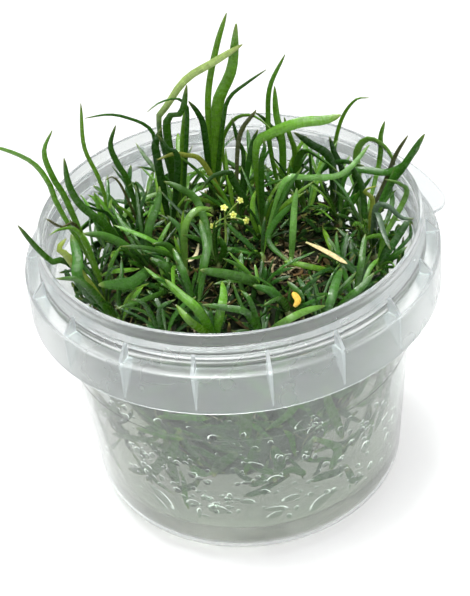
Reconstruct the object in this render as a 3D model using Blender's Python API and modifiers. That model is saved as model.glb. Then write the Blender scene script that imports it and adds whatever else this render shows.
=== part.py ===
# Tissue-culture Lilaeopsis brasiliensis in its open plastic cup.
#
# The cup stands on its base with +Z up and the origin at the centre of the base. The side that
# faces the viewer is -Y. Lengths are in millimetres, and MM turns them into metres where a mesh
# is made. Heights called "level" are measured from the plane of the rim, down being negative.
import math
import random

import bmesh
import bpy
from mathutils import Matrix
from mathutils import Vector
from mathutils.bvhtree import BVHTree

MM = 0.001

# The cup, an injection-moulded tub of the 95 mm lid size
CUP_HEIGHT = 79.0
LIP_RADIUS = 47.5
LIP_INNER = 46.4
LIP_HEIGHT = 3.0
NECK_RADIUS = 48.0
LEDGE_RADIUS = 51.7
LEDGE_LEVEL = -8.9
SKIRT_DROP = 11.1
WALL = 0.9
BODY_TOP_RADIUS = 45.8
BODY_BASE_RADIUS = 40.5
BASE_ROUND = 7.5
CUP_SEGMENTS = 36
CUP_TURN = 1.667

# The fins on the neck and the gussets below the ledge, one plate for each pair
PLATES = 18
PLATE_THICKNESS = 0.8
PLATE_START = 16.667

# The pull tab at the back right
TAB_RADIUS = 56.4
TAB_FROM = 6.0
TAB_TO = 50.0
TAB_CORNER = 7.0

# The gel, the root mat and the bed that the crowns stand on
GEL_LEVEL = -68.5
GEL_MENISCUS = 0.6
BED_TOP = -11.0
BED_FALL = 6.0
BED_RADIUS = 34.0
MAT_CLEAR = 0.4
GAP = 0.3

# The blades: a place along the blade and its share of the width, then how thick the keel stands.
# The widths below were read with the blades' soft edges, which the slimness takes off.
BLADE_SHAPE = ((0.0, 0.46), (0.25, 0.84), (0.55, 1.0), (0.88, 0.86), (1.0, 0.26))
LAST_STATION = 0.88
SLIMNESS = 0.87
KEEL = 0.36
KEEL_LEAST = 0.15
KEEL_MOST = 1.1
CROWN_RADIUS = 1.3
CROWN_LIFT = 0.5
CROWN_HEIGHT = 2.8
VIEWER = Vector((0.0, -0.82, 0.57))

# Leaves that would touch slide back or forth along this line by these steps
SLIDE = Vector((0.0, 1.0, -0.69))
SLIDE_STEP = 0.8
SLIDES = (0, 1, -1, 2, -2, 3, -3, 4, -4, 5, -5, 6, -6, 7, -7)
LIFTS = (0.0, 1.3, -1.3, 2.6)

# The plantlets that the front shows. Each row is a crown's x and y, and its leaves, each with its
# width and the points that it passes on its way to its tip: x, y and level.
PLANTLETS = (
    ((-4, 19), (
        (2.0, ((-3, 17, 13), (-2, 16, 26), (1, 14, 39), (4, 11, 49))),
        (3.8, ((-1, 15, 12), (0, 13, 24), (4, 11, 34), (6, 9, 47))),
        (1.4, ((1, 12, 20), (3, 10, 27), (7, 7, 32), (12, 4, 37))),
        (2.0, ((-4, 14, 15), (-5, 12, 22), (-7, 10, 27))))),
    ((-12, 17), (
        (2.3, ((-15, 14, 18), (-12, 13, 25), (-7, 12, 32), (0, 10, 37), (7, 8, 42))),
        (3.2, ((-13, 11, 20), (-9, 10, 24), (-7, 9, 32))),
        (1.4, ((-8, 13, 19), (-8, 12, 25), (-10, 10, 28), (-14, 7, 29), (-17, 5, 28))),
        (1.6, ((-10, 16, 10), (-9, 16, 17), (-8, 17, 22))))),
    ((-15, 9), (
        (1.2, ((-16, 8, 15), (-17, 6, 23), (-22, 2, 29), (-26, -1, 32), (-31, -5, 34))),
        (2.6, ((-16, 6, 14), (-16, 5, 19), (-14, 4, 24))),
        (2.0, ((-11, 3, 15), (-13, 2, 19), (-15, 1, 24))))),
    ((1, 14), (
        (1.3, ((0, 17, 8), (2, 16, 15), (5, 14, 19), (9, 11, 20), (13, 8, 17))),
        (1.7, ((-5, 10, 9), (-9, 8, 13), (-12, 6, 15), (-16, 4, 15))))),
    ((2, 9), (
        (1.5, ((4, 10, 14), (9, 8, 24))),
        (1.4, ((5, 12, 8), (4, 12, 13), (3, 12, 20))),
        (1.8, ((7, 8, 13), (9, 7, 19))))),
    ((14, 20), (
        (1.6, ((12, 18, 6), (12, 17, 16), (13, 15, 26), (17, 12, 36))),
        (2.3, ((15, 16, 8), (14, 15, 18), (14, 13, 27))),
        (1.8, ((18, 19, 2), (17, 18, 10), (16, 18, 15))),
        (1.5, ((15, 22, 4), (12, 21, 12), (9, 20, 16))))),
    ((8, 6), (
        (3.3, ((8, 7, 13), (12, 6, 18), (19, 5, 21), (25, 5, 21), (29, 5, 22))),
        (1.8, ((9, 2, 12), (10, 1, 17), (10, 1, 20))),
        (2.3, ((2, 2, 8), (1, 0, 12), (-3, -1, 12), (-6, -2, 9))))),
    ((27, 19), (
        (1.3, ((28, 24, -5), (29, 23, 4), (31, 21, 12), (34, 18, 18), (37, 15, 20))),
        (1.9, ((30, 20, -5), (28, 19, 3), (27, 18, 8))),
        (2.8, ((27, 16, 2), (22, 14, 9), (18, 12, 14))))),
    ((20, 15), (
        (2.4, ((18, 15, 0), (20, 14, 7), (24, 11, 6), (28, 9, 3))),
        (1.8, ((23, 19, -5), (26, 17, 0), (30, 14, 3), (35, 11, 3))),
        (1.0, ((22, 21, -6), (22, 21, -1), (22, 20, 3))))),
    ((8, 0), (
        (1.9, ((14, 1, 7), (20, 2, 7), (27, 3, 6), (31, 5, 7), (36, 8, 11))),
        (1.7, ((6, -2, -2), (6, -1, 3), (7, 0, 6))))),
    ((34, 12), (
        (1.7, ((39, 20, -5), (40, 20, 1), (40, 19, 6), (41, 18, 11))),
        (2.4, ((34, 20, -7), (34, 21, 1), (37, 20, 5), (41, 18, 3), (43, 16, -1))),
        (1.5, ((40, 14, -5), (43, 13, 4), (46, 12, 10))))),
    ((34, 5), (
        (2.4, ((40, 7, -2), (44, 6, 5), (49, 4, 15))),
        (2.0, ((34, 9, -3), (32, 9, 3), (31, 8, 7))),
        (1.6, ((36, 5, -4), (34, 4, 0), (37, 3, 2))))),
    ((28, 12), (
        (2.2, ((30, 13, -1), (35, 12, 1), (40, 10, 1), (44, 8, 4), (48, 6, 10))),
        (2.4, ((33, 14, -6), (32, 14, -1))),
        (2.0, ((29, 15, -6), (27, 15, -2))))),
    ((35, -1), (
        (1.8, ((44, 4, -3), (43, 4, 1), (39, 4, 3))),
        (1.6, ((41, 8, -8), (41, 10, -4), (41, 10, 1))),
        (1.9, ((36, -1, -2), (39, -2, -1), (42, -3, -4), (45, -4, -4))),
        (2.0, ((36, -3, -2), (37, -9, -4), (38, -13, -6))))),
    ((35, -7), (
        (2.4, ((42, -3, -8), (44, -2, -6), (45, -2, -7))),
        (2.0, ((37, -7, -7), (34, -7, -6), (32, -7, -7))),
        (1.2, ((42, -6, -10), (44, -5, -8), (44, -4, -5))))),
    ((28, -20), (
        (2.0, ((30, -20, -5), (31, -17, -2), (32, -14, 0))),
        (2.3, ((30, -16, -12), (27, -14, -8), (22, -12, -5))))),
    ((19, -28), (
        (2.4, ((26, -34, -3), (29, -33, -1), (32, -31, 1))),
        (2.6, ((21, -34, -5), (23, -30, -2), (25, -24, -2))))),
    ((5, -31), (
        (2.2, ((10, -41, -3), (15, -39, -2), (20, -35, -4))),
        (2.2, ((2, -39, -1), (-2, -39, 1), (-8, -38, 2))),
        (1.7, ((3, -32, -3), (1, -30, -1))))),
    ((26, -10), (
        (1.8, ((20, -15, -8), (15, -15, -6), (12, -15, -5))),
        (2.0, ((29, -8, -12), (29, -5, -8))))),
    ((14, -8), (
        (2.1, ((15, -7, -3), (16, -4, 3), (17, -2, 7))),
        (2.0, ((9, -3, -7), (12, -1, -2), (17, 0, 2))))),
    ((7, -6), (
        (1.5, ((3, -6, -4), (-1, -5, 1))),
        (1.3, ((8, -4, -6), (7, -3, -2))))),
    ((12, -24), (
        (2.4, ((9, -26, -6), (4, -26, -3))),
        (2.0, ((15, -30, -5), (12, -27, -2))),
        (2.3, ((10, -31, -4), (6, -34, -3))))),
    ((6, -17), (
        (2.9, ((4, -20, -6), (-1, -21, -3), (-8, -22, 0))),
        (1.8, ((2, -14, -8), (2, -9, -5))))),
    ((-6, -30), (
        (2.6, ((-4, -37, -1), (-3, -34, 1), (-3, -30, 2))),
        (2.8, ((-9, -35, -2), (-13, -33, 2), (-16, -31, 5))),
        (2.4, ((-11, -40, -1), (-14, -37, 2))))),
    ((-10, -21), (
        (2.5, ((-7, -17, -2), (-6, -14, 1), (-7, -10, 6))),
        (2.2, ((-12, -20, -2), (-14, -15, 2))))),
    ((-12, -8), (
        (2.2, ((-11, -8, 2), (-8, -6, 6), (-4, -4, 5))),
        (2.2, ((-15, -10, -1), (-19, -11, 1))),
        (1.8, ((-12, -3, -2), (-15, -1, 2))))),
    ((-4, -7), (
        (2.2, ((-2, -9, -4), (-3, -9, 0))),
        (1.9, ((-6, -12, -5), (-6, -13, -1))),
        (2.4, ((-7, 2, 2), (-11, 4, 6), (-15, 5, 8))))),
    ((-20, -5), (
        (2.5, ((-20, -5, 0), (-17, -2, 6), (-16, 0, 10))),
        (2.7, ((-25, -9, -1), (-30, -10, 4), (-35, -11, 6))),
        (3.5, ((-21, -14, -5), (-25, -19, -4), (-32, -24, 0))),
        (1.9, ((-18, -14, -8), (-18, -18, -10))))),
    ((-16, -13), (
        (2.3, ((-16, -12, -6), (-20, -11, -3))),
        (1.6, ((-18, -22, -5), (-23, -26, -3), (-28, -29, -2))))),
    ((-34, 1), (
        (1.9, ((-39, 2, 7), (-41, 0, 15), (-42, -2, 24), (-39, -4, 31))),
        (1.7, ((-41, 0, 7), (-42, -2, 15), (-45, -4, 23), (-52, -6, 29), (-56, -8, 30))),
        (1.5, ((-37, -6, 5), (-40, -9, 7), (-43, -12, 12))))),
    ((-25, 3), (
        (3.2, ((-30, -3, 2), (-35, -5, 10), (-37, -6, 17), (-37, -7, 25))),
        (1.3, ((-30, 6, -3), (-30, 6, 5), (-31, 5, 12), (-33, 4, 21), (-32, 2, 34))),
        (1.2, ((-29, 2, 1), (-32, 0, 5), (-35, -2, 8))))),
    ((-22, 11), (
        (1.9, ((-24, 10, 5), (-26, 9, 12), (-27, 8, 18), (-25, 7, 24))),
        (0.9, ((-25, 4, 7), (-27, 3, 12), (-29, 2, 12))),
        (1.2, ((-22, 7, 6), (-24, 6, 7))))),
    ((-32, -11), (
        (1.9, ((-39, -18, 3), (-42, -20, 5), (-45, -22, 11), (-48, -24, 19))),
        (1.9, ((-34, -13, 3), (-35, -12, 7))),
        (1.6, ((-35, -15, 8), (-39, -17, 12), (-42, -19, 12))))),
    ((-29, -19), (
        (3.3, ((-36, -25, 2), (-36, -22, 7), (-37, -18, 11))),
        (2.3, ((-35, -28, 4), (-41, -28, 6))),
        (2.5, ((-38, -22, 7), (-40, -22, 10), (-38, -21, 12))))),
    ((-18, -28), (
        (1.6, ((-21, -36, 2), (-24, -36, 4))),
        (1.6, ((-18, -36, 0), (-14, -35, 2))))),
)

# The flower stalk of one plantlet, its number in the list above, and its flowers
FLOWERING = 26
STALK_TOP = (-1, -3, 1)
FLOWERS = ((3, -2, 5), (-1, -3, 4), (1, -5, 3), (4, -5, 1), (-4, -6, 1))
STALK_WIDTH = 0.7
FLOWER_RADIUS = 1.0
FLOWER_THICKNESS = 0.5
HUB_RADIUS = 0.8

# More plantlets that fill the bed, placed by turns of the golden angle
BED_FILLERS = 6
GOLDEN_ANGLE = 137.508
FILLER_SPACING = 6.2
FILLER_LEAVES = 3
FILLER_TURN = 100
FILLER_LEANS = (5, 30)
FILLER_CURLS = (10, 75)
FILLER_LENGTHS = (10, 19)
FILLER_WIDTHS = (1.2, 1.9)

# Sprigs between the root mat and the cup's wall. Places on the wall are azimuth and level: first
# the crown's, then each leaf's width and the places that it passes.
WALL_SPRIGS = (
    ((240, -37), (
        (1.3, ((234, -41), (221, -45), (213, -48))),
        (1.8, ((240, -43), (236, -49), (228, -58))),
        (1.1, ((236, -36), (229, -41))))),
    ((246, -35), (
        (1.7, ((242, -44), (241, -49), (242, -55))),
        (1.4, ((248, -39), (250, -42), (252, -44))))),
    ((256, -49), (
        (2.0, ((259, -45), (262, -43), (265, -41))),
        (1.7, ((252, -49), (248, -47))))),
    ((199, -42), (
        (2.0, ((208, -42), (215, -39), (223, -33))),
        (1.0, ((201, -49), (204, -53), (208, -57))))),
    ((277, -22), (
        (2.2, ((271, -25), (269, -30), (269, -36))),
        (1.6, ((285, -25), (283, -30), (275, -34))))),
    ((296, -25), (
        (1.7, ((297, -31), (300, -38), (303, -46))),
        (1.9, ((302, -30), (308, -27))))),
    ((292, -42), (
        (2.1, ((289, -44), (288, -48))),
        (1.8, ((297, -45), (301, -49), (298, -55))))),
    ((277, -52), (
        (1.5, ((281, -50), (284, -50), (288, -53))),
        (1.3, ((273, -52), (268, -53))),
        (2.0, ((279, -47), (277, -40))))),
    ((306, -58), (
        (1.4, ((307, -61), (309, -64), (314, -65))),
        (1.6, ((301, -57), (295, -56), (290, -56))))),
    ((326, -30), (
        (1.2, ((330, -36), (326, -46), (320, -52))),
        (1.4, ((322, -34), (322, -42))))),
    ((30, -34), (
        (2.2, ((22, -37), (14, -44))),
        (2.0, ((36, -31), (41, -24))),
        (1.8, ((39, -38), (46, -46))))),
    ((88, -32), (
        (2.3, ((96, -36), (104, -43))),
        (2.0, ((81, -37), (77, -46))))),
    ((148, -38), (
        (2.2, ((155, -34), (161, -28))),
        (2.0, ((140, -41), (134, -48))),
        (1.9, ((155, -44), (160, -53))))),
)
WALL_STANDOFFS = (1.6, 2.8, 4.0, 5.2)

# Loose pieces of dead leaf that lie on top: width and points
LOOSE_LEAVES = (
    (1.3, ((18, -9, -5), (22, -13, -5), (27, -18, -6))),
    (1.6, ((13, -33, -5), (14, -32, -4), (13, -30, -3))),
    (1.0, ((-8, -7, -3), (-9, -9, -5), (-11, -10, -6))),
)

rng = random.Random(11)


def rim_point(x, y, level):
    """A point given by its level from the rim plane, in the frame of the base."""
    return Vector((x, y, level + CUP_HEIGHT))


def outer_radius(level):
    """The body's outer radius, which tapers to the base."""
    top = LEDGE_LEVEL - WALL
    bottom = BASE_ROUND - CUP_HEIGHT
    share = (top - level) / (top - bottom)
    return BODY_TOP_RADIUS + (BODY_BASE_RADIUS - BODY_TOP_RADIUS) * share


def inner_radius(level):
    """The radius of the inside wall below the neck."""
    return outer_radius(level) - WALL


def bed_level(x, y):
    """The level of the domed bed that the crowns stand on."""
    return BED_TOP - BED_FALL * (x * x + y * y) / BED_RADIUS ** 2


def new_material(name, colour, roughness, transmission=0.0):
    material = bpy.data.materials.new(name)
    material.use_nodes = True
    shader = material.node_tree.nodes["Principled BSDF"]
    shader.inputs["Base Color"].default_value = (*colour, 1.0)
    shader.inputs["Roughness"].default_value = roughness
    shader.inputs["Metallic"].default_value = 0.0
    shader.inputs["Transmission Weight"].default_value = transmission
    return material


def add_object(name, mesh, collection, material=None):
    thing = bpy.data.objects.new(name, mesh)
    collection.objects.link(thing)
    if material:
        thing.data.materials.append(material)
    return thing


def hide_tool(thing):
    """Marks an object that only joins or cuts others."""
    thing.hide_render = True
    thing.display_type = "WIRE"


def join_with(thing, tool, overlapping=False):
    """Adds the tool's shape to the thing."""
    hide_tool(tool)
    union = thing.modifiers.new("join_" + tool.name, "BOOLEAN")
    union.operation = "UNION"
    union.solver = "EXACT"
    union.object = tool
    union.use_self = overlapping


def mesh_from_bmesh(name, bm, smooth_angle=40.0):
    mesh = bpy.data.meshes.new(name)
    bm.to_mesh(mesh)
    bm.free()
    mesh.shade_smooth()
    mesh.set_sharp_from_angle(angle=math.radians(smooth_angle))
    return mesh


def turned_piece(name, profile, collection, material):
    """A turned piece. The profile's points are radius and height in millimetres, and its outer
    side runs from top to bottom."""
    mesh = bpy.data.meshes.new(name)
    turn = Matrix.Rotation(math.radians(CUP_TURN), 3, "Z")
    points = [turn @ Vector((r * MM, 0.0, z * MM)) for r, z in profile]
    mesh.from_pydata(points, [(i, i + 1) for i in range(len(points) - 1)], [])
    thing = add_object(name, mesh, collection, material)
    screw = thing.modifiers.new("turn", "SCREW")
    screw.steps = CUP_SEGMENTS
    screw.render_steps = CUP_SEGMENTS
    screw.use_merge_vertices = True
    screw.merge_threshold = 0.00001
    screw.use_smooth_shade = True
    return thing


def arc(centre_r, centre_z, radius, start, end, steps):
    """Points of an arc in the profile's plane, from one angle to another in degrees."""
    points = []
    for i in range(steps + 1):
        angle = math.radians(start + (end - start) * i / steps)
        points.append((centre_r + radius * math.cos(angle), centre_z + radius * math.sin(angle)))
    return points


def flat_plate(name, outline, thickness, collection):
    """A flat plate from its outline in XY, thickened to both sides and made a mesh."""
    curve = bpy.data.curves.new(name, "CURVE")
    curve.dimensions = "2D"
    curve.fill_mode = "BOTH"
    curve.extrude = thickness * MM / 2
    spline = curve.splines.new("POLY")
    spline.points.add(len(outline) - 1)
    for point, (x, y) in zip(spline.points, outline):
        point.co = (x * MM, y * MM, 0.0, 1.0)
    spline.use_cyclic_u = True
    drawn = bpy.data.objects.new(name + "_curve", curve)
    collection.objects.link(drawn)
    bpy.context.view_layer.update()
    depsgraph = bpy.context.evaluated_depsgraph_get()
    mesh = bpy.data.meshes.new_from_object(drawn.evaluated_get(depsgraph))
    bpy.data.objects.remove(drawn)
    bm = bmesh.new()
    bm.from_mesh(mesh)
    bmesh.ops.remove_doubles(bm, verts=bm.verts, dist=0.000001)
    bmesh.ops.recalc_face_normals(bm, faces=bm.faces)
    bm.to_mesh(mesh)
    bm.free()
    return mesh


def make_cup(collection, tools, material):
    """The cup: a turned body with its fins, gussets and pull tab joined on."""
    rim = CUP_HEIGHT
    ledge = rim + LEDGE_LEVEL
    skirt_end = ledge - SKIRT_DROP
    foot = BODY_BASE_RADIUS - BASE_ROUND
    neck_inside_end = ledge + 1.9
    wall_start = ledge - 0.3
    profile = [(0.0, WALL)]
    profile += arc(foot, BASE_ROUND, BASE_ROUND - WALL, -90, 0, 2)
    profile += [(inner_radius(wall_start - rim), wall_start),
                (LIP_INNER, neck_inside_end), (LIP_INNER, rim - 0.4),
                (LIP_INNER + 0.3, rim), (LIP_RADIUS - 0.3, rim), (LIP_RADIUS, rim - 0.4),
                (LIP_RADIUS, rim - LIP_HEIGHT), (LIP_RADIUS - 0.4, rim - LIP_HEIGHT - 0.3),
                (NECK_RADIUS, rim - LIP_HEIGHT - 1.3), (NECK_RADIUS, ledge),
                (LEDGE_RADIUS, ledge),
                (LEDGE_RADIUS, skirt_end), (LEDGE_RADIUS - WALL, skirt_end),
                (LEDGE_RADIUS - WALL, ledge - WALL), (BODY_TOP_RADIUS, ledge - WALL)]
    profile += arc(foot, BASE_ROUND, BASE_ROUND, 0, -90, 3)
    profile += [(0.0, 0.0)]
    cup = turned_piece("cup", profile, collection, material)

    middle = (LEDGE_RADIUS * 2 - WALL) / 2
    outline = [(NECK_RADIUS - 0.6, rim - LIP_HEIGHT - 1.9), (middle, ledge - 0.2),
               (middle, skirt_end + 0.8), (middle - 0.4, skirt_end + 0.8),
               (inner_radius(LEDGE_LEVEL) + WALL / 2, ledge - WALL / 2),
               (NECK_RADIUS - 0.6, ledge - WALL / 2)]
    plate = flat_plate("plate", outline, PLATE_THICKNESS, tools)
    bm = bmesh.new()
    for i in range(PLATES):
        turn = Matrix.Rotation(math.radians(PLATE_START + i * 360.0 / PLATES), 4, "Z")
        stand = Matrix.Rotation(math.radians(90), 4, "X")
        before = len(bm.verts)
        bm.from_mesh(plate)
        bm.verts.ensure_lookup_table()
        bmesh.ops.transform(bm, matrix=turn @ stand, verts=bm.verts[before:])
    plates = add_object("fins_and_gussets", mesh_from_bmesh("fins_and_gussets", bm), tools)
    join_with(cup, plates)

    turn_in = math.degrees(TAB_CORNER / TAB_RADIUS) / 2
    outline = []
    for i in range(13):
        share = i / 12
        angle = TAB_FROM + (TAB_TO - TAB_FROM) * share
        from_end = min(angle - TAB_FROM, TAB_TO - angle)
        ease = min(1.0, from_end / (2 * turn_in))
        reach = middle + (TAB_RADIUS - middle) * math.sin(math.pi / 2 * ease) ** 0.6
        outline.append((reach * math.cos(math.radians(angle)),
                        reach * math.sin(math.radians(angle))))
    for i in range(7):
        angle = math.radians(TAB_TO + (TAB_FROM - TAB_TO) * (i + 0.5) / 7)
        outline.append(((middle - 0.25) * math.cos(angle), (middle - 0.25) * math.sin(angle)))
    tab = add_object("pull_tab", flat_plate("pull_tab", outline, WALL, tools), tools)
    tab.location.z = (ledge - WALL / 2 - 0.1) * MM
    join_with(cup, tab)
    return cup


def make_gel(collection, material):
    """The gel: a disc with a low meniscus, the gap clear of the cup all round."""
    top = CUP_HEIGHT + GEL_LEVEL
    side = inner_radius(GEL_LEVEL) - GAP
    foot = BODY_BASE_RADIUS - BASE_ROUND
    profile = [(0.0, top), (side - 3.0, top), (side, top + GEL_MENISCUS)]
    profile += arc(foot, BASE_ROUND, BASE_ROUND - WALL - GAP, 0, -90, 2)
    profile += [(0.0, WALL + GAP)]
    return turned_piece("nutrient_gel", profile, collection, material)


def make_mat(collection, material):
    """The root mat: a sphere shaped into a lumpy ball that widens to the bed on top."""
    rings = ((0, None), (13, None), (26, None), (35.5, None), (37.5, -25.0), (35.0, -37.0),
             (31.0, -48.0), (25.0, -60.0), (21.0, GEL_LEVEL + GAP), (0.0, GEL_LEVEL + GAP))
    last = len(rings) - 1
    bm = bmesh.new()
    bmesh.ops.create_uvsphere(bm, u_segments=18, v_segments=last, radius=1.0)
    for vert in bm.verts:
        ring = round(math.acos(max(-1.0, min(1.0, vert.co.z))) / math.pi * last)
        angle = math.atan2(vert.co.y, vert.co.x)
        radius, level = rings[ring]
        if 0 < ring < last - 1:
            radius *= 1 + 0.03 * math.sin(3 * angle + ring) + 0.02 * math.sin(7 * angle + 2 * ring)
        x = radius * math.cos(angle)
        y = radius * math.sin(angle)
        if level is None:
            dip = 0.5 * (1 + math.sin(5 * angle + 3 * ring)) if ring else 0.5
            level = bed_level(x, y) - MAT_CLEAR - dip
        vert.co = rim_point(x, y, level) * MM
    bmesh.ops.recalc_face_normals(bm, faces=bm.faces)
    return add_object("root_mat", mesh_from_bmesh("root_mat", bm, 60.0), collection, material)


def route(points, shares):
    """A smooth line through the points, as stations at these shares of its length."""
    ends = [points[0] * 2 - points[1]] + list(points) + [points[-1] * 2 - points[-2]]
    fine = []
    for i in range(1, len(ends) - 2):
        a, b, c, d = ends[i - 1:i + 3]
        for j in range(8):
            t = j / 8
            fine.append(0.5 * ((2 * b) + (c - a) * t + (2 * a - 5 * b + 4 * c - d) * t * t
                               + (3 * b - a - 3 * c + d) * t ** 3))
    fine.append(points[-1].copy())
    lengths = [0.0]
    for a, b in zip(fine, fine[1:]):
        lengths.append(lengths[-1] + (b - a).length)
    line = []
    k = 0
    for share in shares:
        want = lengths[-1] * share
        while k < len(fine) - 2 and lengths[k + 1] < want:
            k += 1
        span = max(lengths[k + 1] - lengths[k], 1e-9)
        line.append(fine[k].lerp(fine[k + 1], (want - lengths[k]) / span))
    return line


def blade_share(t):
    """The blade's width at a place along it, as a share of the greatest."""
    for (t0, w0), (t1, w1) in zip(BLADE_SHAPE, BLADE_SHAPE[1:]):
        if t <= t1:
            return w0 + (w1 - w0) * (t - t0) / (t1 - t0)
    return BLADE_SHAPE[-1][1]


def station_shares(points):
    """The places of a blade's stations. Long and bent blades have more of them."""
    runs = [b - a for a, b in zip(points, points[1:])]
    length = sum(run.length for run in runs)
    bend = sum(math.degrees(a.angle(b)) for a, b in zip(runs, runs[1:]))
    count = 3 + (length > 9) + (length > 28) + (bend > 75) + (bend > 130)
    return [LAST_STATION * i / (count - 2) for i in range(count - 1)] + [1.0]


def make_blade(bm, points, width, face, swell=0.0, thickness=None):
    """Adds a blade to bm: a grid rolled round the route into a three-sided tube with its ends
    filled. At the middle its flat side looks along face and its keel points away."""
    shares = station_shares(points)
    line = route(points, shares)
    count = len(line)
    tangents = []
    for i in range(count):
        ahead = line[min(i + 1, count - 1)]
        behind = line[max(i - 1, 0)]
        tangents.append((ahead - behind).normalized())
    middle = count // 2
    across = tangents[middle].cross(face)
    if across.length < 0.2:
        across = tangents[middle].cross(Vector((0.3, 0.2, 1.0)))
    sides = [None] * count
    sides[middle] = across.normalized()
    for i in list(range(middle + 1, count)) + list(range(middle - 1, -1, -1)):
        near = sides[i - 1] if i > middle else sides[i + 1]
        sides[i] = (near - tangents[i] * near.dot(tangents[i])).normalized()
    thick = thickness or min(KEEL_MOST, width * KEEL + KEEL_LEAST)
    grid = bmesh.ops.create_grid(bm, x_segments=3, y_segments=count - 1, size=0.5)["verts"]
    for vert in grid:
        station = round((vert.co.y + 0.5) * (count - 1))
        corner = round((vert.co.x + 0.5) * 3) % 3
        share = blade_share(shares[station])
        half = width * share / 2 + swell
        deep = thick * min(1.0, 0.35 + 0.75 * share)
        flat = sides[station].cross(tangents[station])
        out = flat * (deep * 0.3 + swell)
        if corner < 2:
            out += sides[station] * (half if corner else -half)
        else:
            out = flat * (-deep * 0.7 - swell * 1.6)
        vert.co = (line[station] + out) * MM
    bmesh.ops.remove_doubles(bm, verts=grid, dist=0.000001)
    open_edges = [edge for edge in bm.edges if edge.is_boundary]
    bmesh.ops.holes_fill(bm, edges=open_edges, sides=3)


def blade_tree(points, width, face, swell, thickness=None):
    bm = bmesh.new()
    make_blade(bm, points, width, face, swell, thickness)
    tree = BVHTree.FromBMesh(bm)
    bm.free()
    return tree


def make_crown(bm, place, size=1.0):
    """Adds a crown: a short four-sided bulb that stands at its place."""
    before = len(bm.verts)
    bmesh.ops.create_cone(bm, cap_ends=True, segments=4, radius1=CROWN_RADIUS * MM * size,
                          radius2=CROWN_RADIUS * 0.5 * MM * size, depth=CROWN_HEIGHT * MM * size)
    bm.verts.ensure_lookup_table()
    middle = (place + Vector((0, 0, CROWN_HEIGHT / 2 * size))) * MM
    bmesh.ops.translate(bm, verts=bm.verts[before:], vec=middle)


def make_flower(bm, place, facing):
    """Adds a flower of five petals as a thin five-cornered plate."""
    before = len(bm.verts)
    bmesh.ops.create_cone(bm, cap_ends=True, segments=5, radius1=FLOWER_RADIUS * MM,
                          radius2=FLOWER_RADIUS * 0.8 * MM, depth=FLOWER_THICKNESS * MM)
    bm.verts.ensure_lookup_table()
    aim = facing.to_track_quat("Z", "Y").to_matrix().to_4x4()
    bmesh.ops.transform(bm, matrix=Matrix.Translation(place * MM) @ aim, verts=bm.verts[before:])


class Bed:
    """What has been placed so far, and the test that a new leaf stays clear of it."""

    def __init__(self, fixed):
        self.fixed = fixed
        self.placed = []

    def clear(self, tree, owner):
        if any(tree.overlap(other) for other in self.fixed):
            return False
        return not any(name != owner and tree.overlap(other) for name, other in self.placed)

    def add(self, tree, owner):
        self.placed.append((owner, tree))


def place_leaf(bed, owner, start, points, width, face, thickness=None):
    """Slides a leaf until it is clear of all others. Returns its points, or None."""
    for lift in LIFTS:
        for step in SLIDES:
            shift = SLIDE * (step * SLIDE_STEP) + Vector((0, 0, lift))
            moved = [start] + [p + shift * min(1.0, (i + 1) / 2) for i, p in enumerate(points)]
            if bed.clear(blade_tree(moved, width, face, GAP, thickness), owner):
                bed.add(blade_tree(moved, width, face, 0.0, thickness), owner)
                return moved
    return None


def free_leaf(start, heading, lean, curl, length):
    """Three points of a leaf that starts at a lean from upright and curls over as it grows."""
    points = []
    spot = start.copy()
    for i in range(3):
        tilt = math.radians(lean + curl * i / 2)
        flat = Vector((math.cos(heading), math.sin(heading), 0.0)) * math.sin(tilt)
        spot = spot + (flat + Vector((0, 0, math.cos(tilt)))) * (length / 3)
        points.append(spot.copy())
    return points


def wall_point(azimuth, level, standoff):
    """A point inside the cup's wall, the standoff away from it."""
    radius = inner_radius(level) - standoff
    angle = math.radians(azimuth)
    return rim_point(radius * math.cos(angle), radius * math.sin(angle), level)


for old in list(bpy.data.objects):
    bpy.data.objects.remove(old)

pieces = bpy.data.collections.new("lilaeopsis_cup")
tools = bpy.data.collections.new("joining_shapes")
bpy.context.scene.collection.children.link(pieces)
bpy.context.scene.collection.children.link(tools)

milky = new_material("milky_plastic", (0.86, 0.87, 0.85), 0.35, 0.7)
jelly = new_material("clear_gel", (0.78, 0.82, 0.76), 0.2, 0.8)
roots = new_material("wet_roots", (0.05, 0.055, 0.02), 0.6)
greens = [new_material("leaf_green_%d" % (i + 1), colour, 0.35) for i, colour in enumerate((
    (0.07, 0.20, 0.02), (0.13, 0.30, 0.03), (0.04, 0.13, 0.02)))]
straw = new_material("dead_leaf", (0.55, 0.45, 0.20), 0.7)

cup = make_cup(pieces, tools, milky)
gel = make_gel(pieces, jelly)
mat = make_mat(pieces, roots)
bpy.context.view_layer.update()
depsgraph = bpy.context.evaluated_depsgraph_get()
bed = Bed([BVHTree.FromObject(thing, depsgraph) for thing in (cup, gel, mat)])

# The crowns go in first: those of the list, then the fillers in the free places
crowns = []
for (x, y), leaves in PLANTLETS:
    crowns.append(rim_point(x, y, bed_level(x, y) + CROWN_LIFT))
turns = 0
while len(crowns) < len(PLANTLETS) + BED_FILLERS:
    turns += 1
    radius = BED_RADIUS * math.sqrt(1 - turns / 200)
    angle = math.radians(90 + turns * GOLDEN_ANGLE)
    x = radius * math.cos(angle)
    y = radius * math.sin(angle)
    if all(math.hypot(c.x - x, c.y - y) > FILLER_SPACING for c in crowns):
        crowns.append(rim_point(x, y, bed_level(x, y) + CROWN_LIFT))
for (azimuth, level), leaves in WALL_SPRIGS:
    crowns.append(wall_point(azimuth, level, WALL_STANDOFFS[0]) - Vector((0, 0, CROWN_HEIGHT * 0.3)))

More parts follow.
